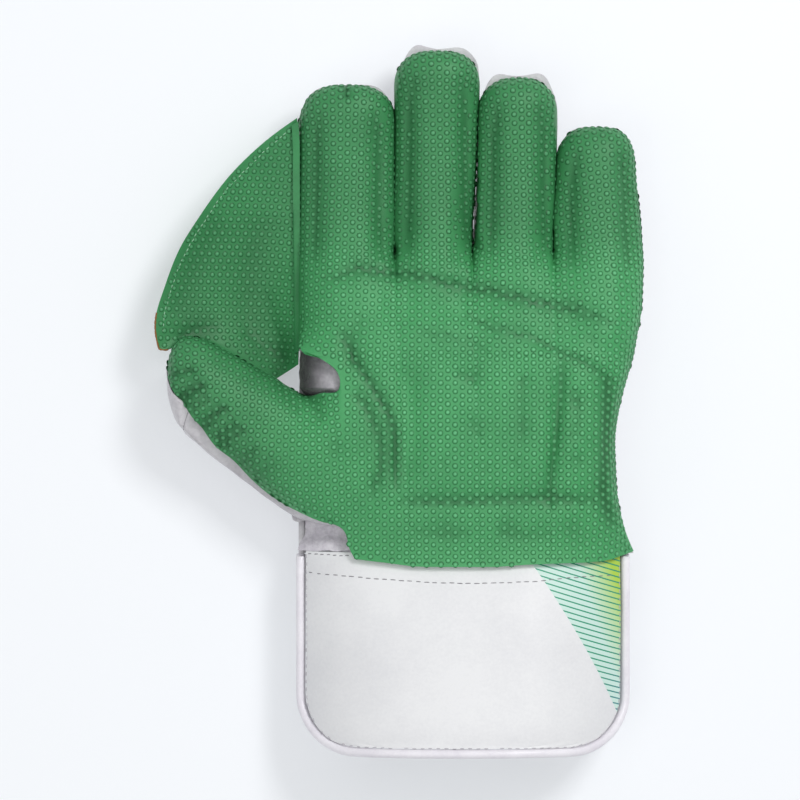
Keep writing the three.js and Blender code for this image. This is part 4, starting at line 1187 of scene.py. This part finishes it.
crotchGusset = makeGusset("crotch_gusset", "crotchGusset", crotchLeather, 21)
wristGusset = makeGusset("wrist_gusset", "wristGusset", greySuede, 22)
makeLap()


# the cuff's two panels and their piping

cuff = {"rimAngle": 50, "crispness": 0.9, "frontLevels": 3, "backLevels": 2, "swell": 0.5, "swellSize": 30,
        "seed": 41}
piping = {"rimAngle": 75, "crispness": 0.9, "levels": 2, "smoothAngle": 70}
pipingNames = {"cuff_front_piping": "cuffFrontPiping", "cuff_back_piping": "cuffBackPiping"}

cuffFront = softCopy("cuff_front", "cuffFront", cuff["frontLevels"], cuff["rimAngle"], cuff["crispness"])
crumple(cuffFront, cuff["swell"], cuff["swellSize"], cuff["seed"])
finishPiece(cuffFront, cuffFrontVinyl, "cuff_front", slot="cuff_vinyl")
cuffBack = softCopy("cuff_back", "cuffBack", cuff["backLevels"], cuff["rimAngle"], cuff["crispness"])
finishPiece(cuffBack, cuffBackVinyl, "cuff_back", slot="cuff_vinyl")
for node, name in pipingNames.items():
    piece = softCopy(node, name, piping["levels"], piping["rimAngle"], piping["crispness"])
    finishPiece(piece, plain["pipingVinyl"], node, slot="piping", angle=piping["smoothAngle"])
print("cuff done")


# stitches

cuffStitches = [
    {"path": [(-70.5, 1.2), (-52, 0.6)], "pitch": 2.9, "length": 2.0, "thread": 0.45},
    {"path": [(-70, -7.4), (-50, -8.9), (-20, -11), (0, -11.7), (30, -11), (50, -9.2), (69, -8.5)],
     "pitch": 3.8, "length": 2.7, "thread": 0.42},
]
rimPath = [
    (-71.9, 0), (-71.9, -63), (-70.7, -71.5), (-66.3, -79), (-59, -84.3), (-50, -85.9), (50, -85.9),
    (59, -84.3), (66.3, -79), (70.7, -71.5), (71.8, -63), (71.8, -2),
]
webArc = [
    (-78, 197.5), (-85, 191.5), (-92.5, 185), (-100.5, 177), (-108, 169.3), (-114.3, 161), (-120.3, 152),
    (-125.5, 143.5), (-129.5, 135.8), (-132.7, 127.5), (-135.5, 118.5), (-137.7, 110), (-138, 103),
]
backSeams = [
    [(-72, 141.2), (80, 141.2)],
    [(-72, 145.3), (80, 145.3)],
    [(-127.2, 61), (-116.4, 95)],
    [(-130.3, 63.5), (-119.9, 96.5)],
    [(-72, 4.2), (72, 4.2)],
    [(-53, 141), (-52, 112), (-46, 78), (-40, 40)],
    [(-12, 141), (-12, 110), (-12, 76), (-12, 40)],
    [(25, 141), (24, 110), (20, 76), (14, 40)],
    [(62, 141), (60, 112), (53, 78), (44, 40)],
]
rimStitches = [{"path": rimPath, "pitch": 3.6, "length": 2.1, "thread": 0.42}]
webStitches = [{"path": webArc, "pitch": 2.6, "length": 1.7, "thread": 0.5}]
backRow = {"pitch": 3.2, "length": 2.3, "thread": 0.42, "under": True}
backStitches = [{"path": seam, **backRow} for seam in backSeams]
lookFrom = {"above": 120, "below": -40}  # heights in millimetres


def stitchShape():
    # a short bowed thread, its ends sunk in the cloth: rings of place along, girth and rise
    rings = [(-0.5, 0.35, -0.5), (-0.34, 0.85, 0.15), (0.0, 1.0, 0.55), (0.34, 0.85, 0.15), (0.5, 0.35, -0.5)]
    sides = 6
    points = []
    for along, girth, rise in rings:
        for i in range(sides):
            angle = 2 * math.pi * i / sides
            points.append((along, girth * math.cos(angle), rise + girth * math.sin(angle)))
    faces = ringFaces(len(rings), sides, swapped=True)
    faces.append(tuple(range(sides)))
    faces.append(tuple(len(points) - 1 - i for i in range(sides)))
    return np.array(points), faces


def surfacesOf(*objs):
    trees = []
    for obj in objs:
        points = [v.co.copy() for v in obj.data.vertices]
        trees.append(BVHTree.FromPolygons(points, [tuple(p.vertices) for p in obj.data.polygons]))
    return trees


def walk(path, pitch):
    # points every pitch millimetres along a path in plan, with the direction there
    path = [Vector(p) for p in path]
    out, carried = [], 0.0
    for a, b in zip(path[:-1], path[1:]):
        run = (b - a).length
        way = (b - a).normalized()
        while carried <= run:
            out.append((a + way * carried, way))
            carried += pitch
        carried -= run
    return out


def surfaceAt(trees, x, y, under):
    # the outermost surface at a place in plan; the rows of the back are found from below
    start = at(x, y, lookFrom["below" if under else "above"])
    hits = [tree.ray_cast(start, Vector((0, 0, 1 if under else -1))) for tree in trees]
    hits = [hit for hit in hits if hit[0] is not None]
    if not hits:
        return None, None
    outermost = (min if under else max)(hits, key=lambda hit: hit[0].z)
    return outermost[0], outermost[1]


def makeStitches(name, rows, trees, material, slot):
    shape, faces = stitchShape()
    rng = random.Random(5)
    allPoints, allFaces = [], []
    for row in rows:
        for place, way in walk(row["path"], row["pitch"]):
            jitterX, jitterY = rng.uniform(-0.15, 0.15), rng.uniform(-0.12, 0.12)
            spot, normal = surfaceAt(trees, place.x + jitterX, place.y + jitterY, row.get("under", False))
            if spot is None:
                continue
            along = Vector((way.x, way.y, 0))
            along = (along - normal * along.dot(normal)).normalized()
            side = normal.cross(along)
            length = row["length"] * rng.uniform(0.88, 1.08)
            scaled = shape * np.array([length, row["thread"] / 2, row["thread"] / 2]) * mm
            first = len(allPoints) * len(shape)
            allPoints.append(scaled @ np.array([along[:], side[:], normal[:]]) + np.array(spot))
            allFaces += [tuple(v + first for v in face) for face in faces]
    obj = newObject(name, np.concatenate(allPoints).tolist(), allFaces)
    finishPiece(obj, material, slot=slot, angle=80)


makeStitches("cuffStitches", cuffStitches, surfacesOf(cuffFront), plain["greyThread"], "cuff_vinyl")
makeStitches("rimStitches", rimStitches, surfacesOf(cuffFront), plain["paleThread"], "cuff_vinyl")
makeStitches("webStitches", webStitches, surfacesOf(web), plain["webThread"], "pimpled_rubber")
makeStitches("backStitches", backStitches, surfacesOf(*backPieces), plain["greyThread"], "white_leather")
print("stitches done")


# the web's cut edge at its outer corner, where the fabric backing shows

webCorner = [(-141.3, 112), (-141.8, 104), (-141.2, 98), (-139.6, 95), (-136.6, 93.6), (-133.4, 93.6)]
edgeThread = {"radius": 0.42, "thinnest": 0.7, "thickest": 1.2, "step": 0.8, "height": 33, "sides": 8}


def makeRawEdge(name, path, tree, material, slot):
    sides, points = edgeThread["sides"], []
    rng = random.Random(9)
    spots = walk(path, edgeThread["step"])
    for place, way in spots:
        near, _, _, _ = tree.find_nearest(at(place.x, place.y, edgeThread["height"]))
        side = Vector((way.y, -way.x, 0))
        girth = edgeThread["radius"] * rng.uniform(edgeThread["thinnest"], edgeThread["thickest"]) * mm
        for i in range(sides):
            angle = 2 * math.pi * i / sides
            points.append(near + side * girth * math.cos(angle) + Vector((0, 0, girth * math.sin(angle))))
    faces = ringFaces(len(spots), sides)
    faces.append(tuple(reversed(range(sides))))
    faces.append(tuple(len(points) - sides + i for i in range(sides)))
    obj = newObject(name, [point[:] for point in points], faces)
    finishPiece(obj, material, slot=slot)


makeRawEdge("webRawEdge", webCorner, surfacesOf(web)[0], plain["rawEdge"], "rubber_lap")
